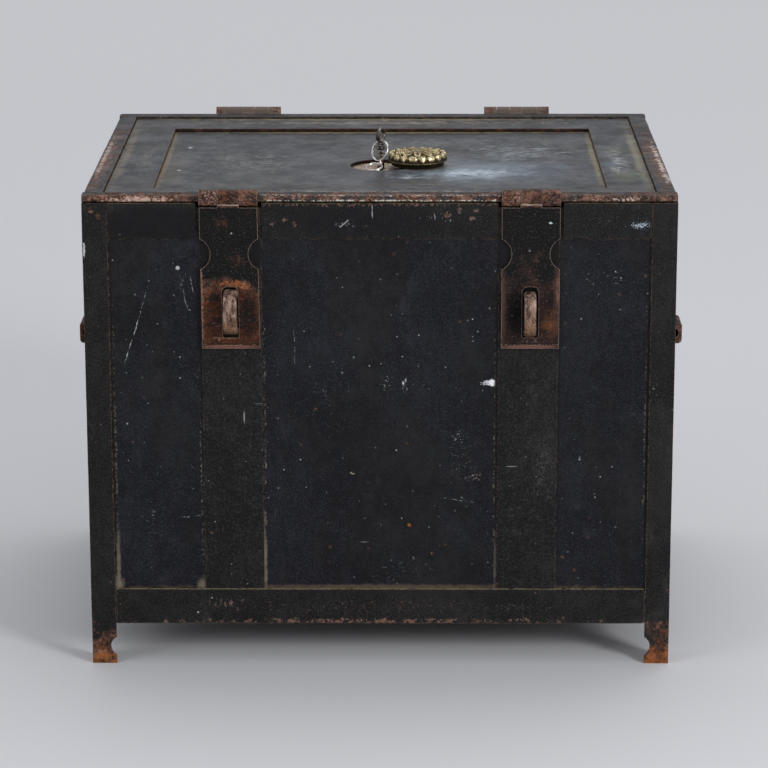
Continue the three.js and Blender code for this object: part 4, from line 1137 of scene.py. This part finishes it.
def coil(node, plane, wire, turns, look, shift=(0, 0, 0), grow=0.0):
    """A split ring in the place of a CAD ring: a wire wound round in the plane of two directions.

    shift and grow, in millimetres, move it and make it larger.
    """
    low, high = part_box(node)
    middle = (low + high) / 2
    shift = Vector(shift) * MM
    first, second = plane
    second = (second - first * second.dot(first)).normalized()
    normal = first.cross(second)
    across = max(abs((v.co - middle).dot(first)) for v in frame["nodes"][node].data.vertices)
    radius = across + (grow - wire) * MM
    steps = 60
    points = []
    for k in range(int(steps * turns) + 1):
        angle = 2 * math.pi * k / steps
        rise = (k / (steps * turns) - 0.5) * turns * (2 * wire + COIL_GAP) * MM
        points.append(middle + shift + (first * math.cos(angle) + second * math.sin(angle)) * radius + normal * rise)
    bm = tube(points, wire * MM, 10)
    return finished(f"{node}_fine", bm, look, node, [node], "ring_steel", flat_weighted=False)


def rosette_height(r, angle):
    """How high the cast cover stands, in millimetres above its flat back, at radius r and that angle."""
    flange, wall = 3.4, 31.5 + 0.9 * abs(math.cos(angle * 9)) + 0.2 * math.cos(angle * 27)
    if r > wall + 0.5:
        return flange
    step = min(1, (wall + 0.5 - r) / 0.6)
    petals = 10
    lobe = 0.62 * abs(math.cos(angle * 9)) + 0.38 * abs(math.cos(angle * 27 + 0.6))
    band = max(0.0, 1 - ((r - 29.6) / 3.2) ** 4) ** 0.5
    rim = 8.4 + 3.0 * band * lobe ** 0.7
    dome = 10.0 + 2.2 * max(0.0, 1 - (r / 27) ** 2)
    share = (angle * petals / (2 * math.pi)) % 1
    off = abs(share - 0.5) * 2
    leaf_half = 0.80 * math.sin(math.pi * min(1, max(0, (r - 5) / 21)) ** 0.8) ** 0.5 if 5 < r < 26 else 0
    leaf = -0.9 + 0.5 * math.sin(angle * 31 + r * 1.7) * math.cos(angle * 13 - r * 0.9)
    if leaf_half and off < leaf_half:
        across = off / leaf_half
        leaf = 0.5 + 0.9 * across ** 3 + 0.9 * max(0, 1 - off / 0.12) + 0.5 * math.cos(r * 2.6 + across * 3) * across
    elif leaf_half:
        stem = max(0.0, 1 - (1 - off) * r / 2.2)
        leaf = -1.3 + 1.9 * stem + 0.8 * math.cos(r * 2.1)
    pearls = 0.8 * max(0.0, 1 - abs(r - 25.4) / 0.9) * abs(math.cos(angle * 20))
    inner = dome + leaf * min(1, (27 - r) / 3) + pearls if r < 27 else dome
    if r < 8.6:
        boss = 11.8 + 2.7 * max(0.0, 1 - (r / 8.2) ** 2) ** 0.5
        bead = 0.5 * math.cos(angle * 8) * max(0.0, 1 - abs(r - 6.5) / 1.6)
        inner = max(inner, boss + bead) if r < 8.2 else inner - 0.8
    blend = min(1, max(0, (r - 25.0) / 1.4))
    return flange + (max(flange, inner * (1 - blend) + rim * blend) - flange) * step


def make_rosette(looks):
    """The keyhole's cover: a cast brass rosette with lobes round its rim, leaves, and a boss in the middle."""
    low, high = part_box("keyhole_cover")
    radius = (high.x - low.x) / 2 / MM
    rings, sectors, reach = 88, 288, 3
    bm = bmesh.new()
    layer = bm.verts.layers.float.new("relief")

    def point(r, k, up, relief):
        angle = 2 * math.pi * k / sectors
        across = Vector((r * MM * math.cos(angle), r * MM * math.sin(angle)))
        v = bm.verts.new((COVER_AXIS.x + across.x, COVER_AXIS.y + across.y, low.z + up * MM))
        v[layer] = relief
        return v

    radii = [radius * i / rings for i in range(rings + 1)]
    heights = [[rosette_height(r, 2 * math.pi * k / sectors) for k in range(sectors)] for r in radii]
    grid = []
    for i, r in enumerate(radii):
        lift = 0.12 if 8.5 > r or r > 30 else 0
        row = []
        for k in range(sectors if i else 1):
            rows = [heights[min(rings, max(0, i + a))] for a in (-reach, 0, reach)]
            near = [ring[(k + b * 2) % sectors] for ring in rows for b in (-reach, 0, reach)]
            relief = 0.5 + (heights[i][k] - sum(near) / len(near)) * 0.32 + lift
            row.append(point(r, k, heights[i][k], relief))
        grid.append(row)
    rim = ((radius, 2.5), (radius - 2.0, 2.1), (radius - 3.4, 0), (radius - 4.4, -2.9), (radius * 0.5, -2.9))
    back = [[point(r, k, up, 0.6 if r == radius else 0.1) for k in range(sectors)] for r, up in rim]
    centre = point(0, 0, -2.9, 0.1)
    rows = grid[1:] + back
    for k in range(sectors):
        n = (k + 1) % sectors
        bm.faces.new((grid[0][0], grid[1][k], grid[1][n]))
        for one, two in zip(rows, rows[1:]):
            bm.faces.new((one[k], two[k], two[n], one[n]))
        bm.faces.new((back[-1][k], centre, back[-1][n]))
    finished(
        "keyhole_cover_fine", bm, looks["brass"], "keyhole_cover", ["keyhole_cover"], "cover_brass", sharp=60,
        flat_weighted=False,
    )


# ---------------------------------------------------------------- handles

def make_handles(looks):
    for side in SIDES:
        fine(f"handle_bracket_{side}", looks["handles"], "rusty_iron", ease=1.0, segments=3, step=10)
        low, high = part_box(f"handle_bail_{side}")
        x = (low.x + high.x) / 2
        y = (low.y + high.y) / 2
        bar = (high.x - low.x) / 2  # half the bar's thickness
        axis_z, bottom = high.z - bar, low.z + bar
        arm, bend, end = 53 * MM, 12 * MM, (high.y - low.y) / 2
        outline = [(-end, 0), (-arm - bend, 0)]
        corners = [((-arm, 0), (-1, 0), (0, -1)), ((-arm, bottom - axis_z), (0, 1), (1, 0))]
        for (cy, cz), into, out in corners:
            for k in range(9):
                t = k / 8
                a, b = (1 - t) ** 2, t ** 2
                outline.append((cy + (into[0] * a + out[0] * b) * bend, cz + (into[1] * a + out[1] * b) * bend))
        route = outline + [(-py, pz) for py, pz in reversed(outline)]
        points, radii = [], []
        for (y0, z0), (y1, z1) in zip(route, route[1:]):
            length = math.hypot(y1 - y0, z1 - z0)
            pieces = max(1, int(length / (5 * MM)))
            for k in range(pieces):
                t = k / pieces
                points.append(Vector((x, y + y0 + (y1 - y0) * t, axis_z + z0 + (z1 - z0) * t)))
        points.append(Vector((x, y + route[-1][0], axis_z + route[-1][1])))
        for p in points:
            grip = max(0.0, 1 - (abs(p.y - y) / (arm * 0.95)) ** 2) if p.z < axis_z - 40 * MM else 0.0
            radii.append(bar * (0.94 + 0.06 * grip))
        bm = tube(points, radii, 18)
        dent(bm, 0.12, 18)
        finished(
            f"handle_bail_{side}_fine", bm, looks["handles"], f"handle_{side}", [f"handle_bail_{side}"],
            "rusty_iron", flat_weighted=False,
        )


# ---------------------------------------------------------------- everything

make_camera()
make_studio()
make_floor()
looks = make_finishes()
make_chest(looks)
make_lid(looks)
make_hasps(looks)
make_lock(looks)
make_key(looks)
coil("key_ring", (Vector((0.72, -0.69, 0)), sloping(22)), 0.70, 1.9, looks["ring"], shift=(0.6, 0, -2.2), grow=0.7)
coil("spare_ring", (THROUGH_BOW, sloping(72)), 0.58, 1.9, looks["ring"], shift=(-1.5, 0, -0.6))
coil("ring_link", (TO_FRONT, Vector((0, 0, 1))), 0.9, 0.98, looks["link"], shift=(2.6, -1, -2.6), grow=0.4)
make_rosette(looks)
make_handles(looks)
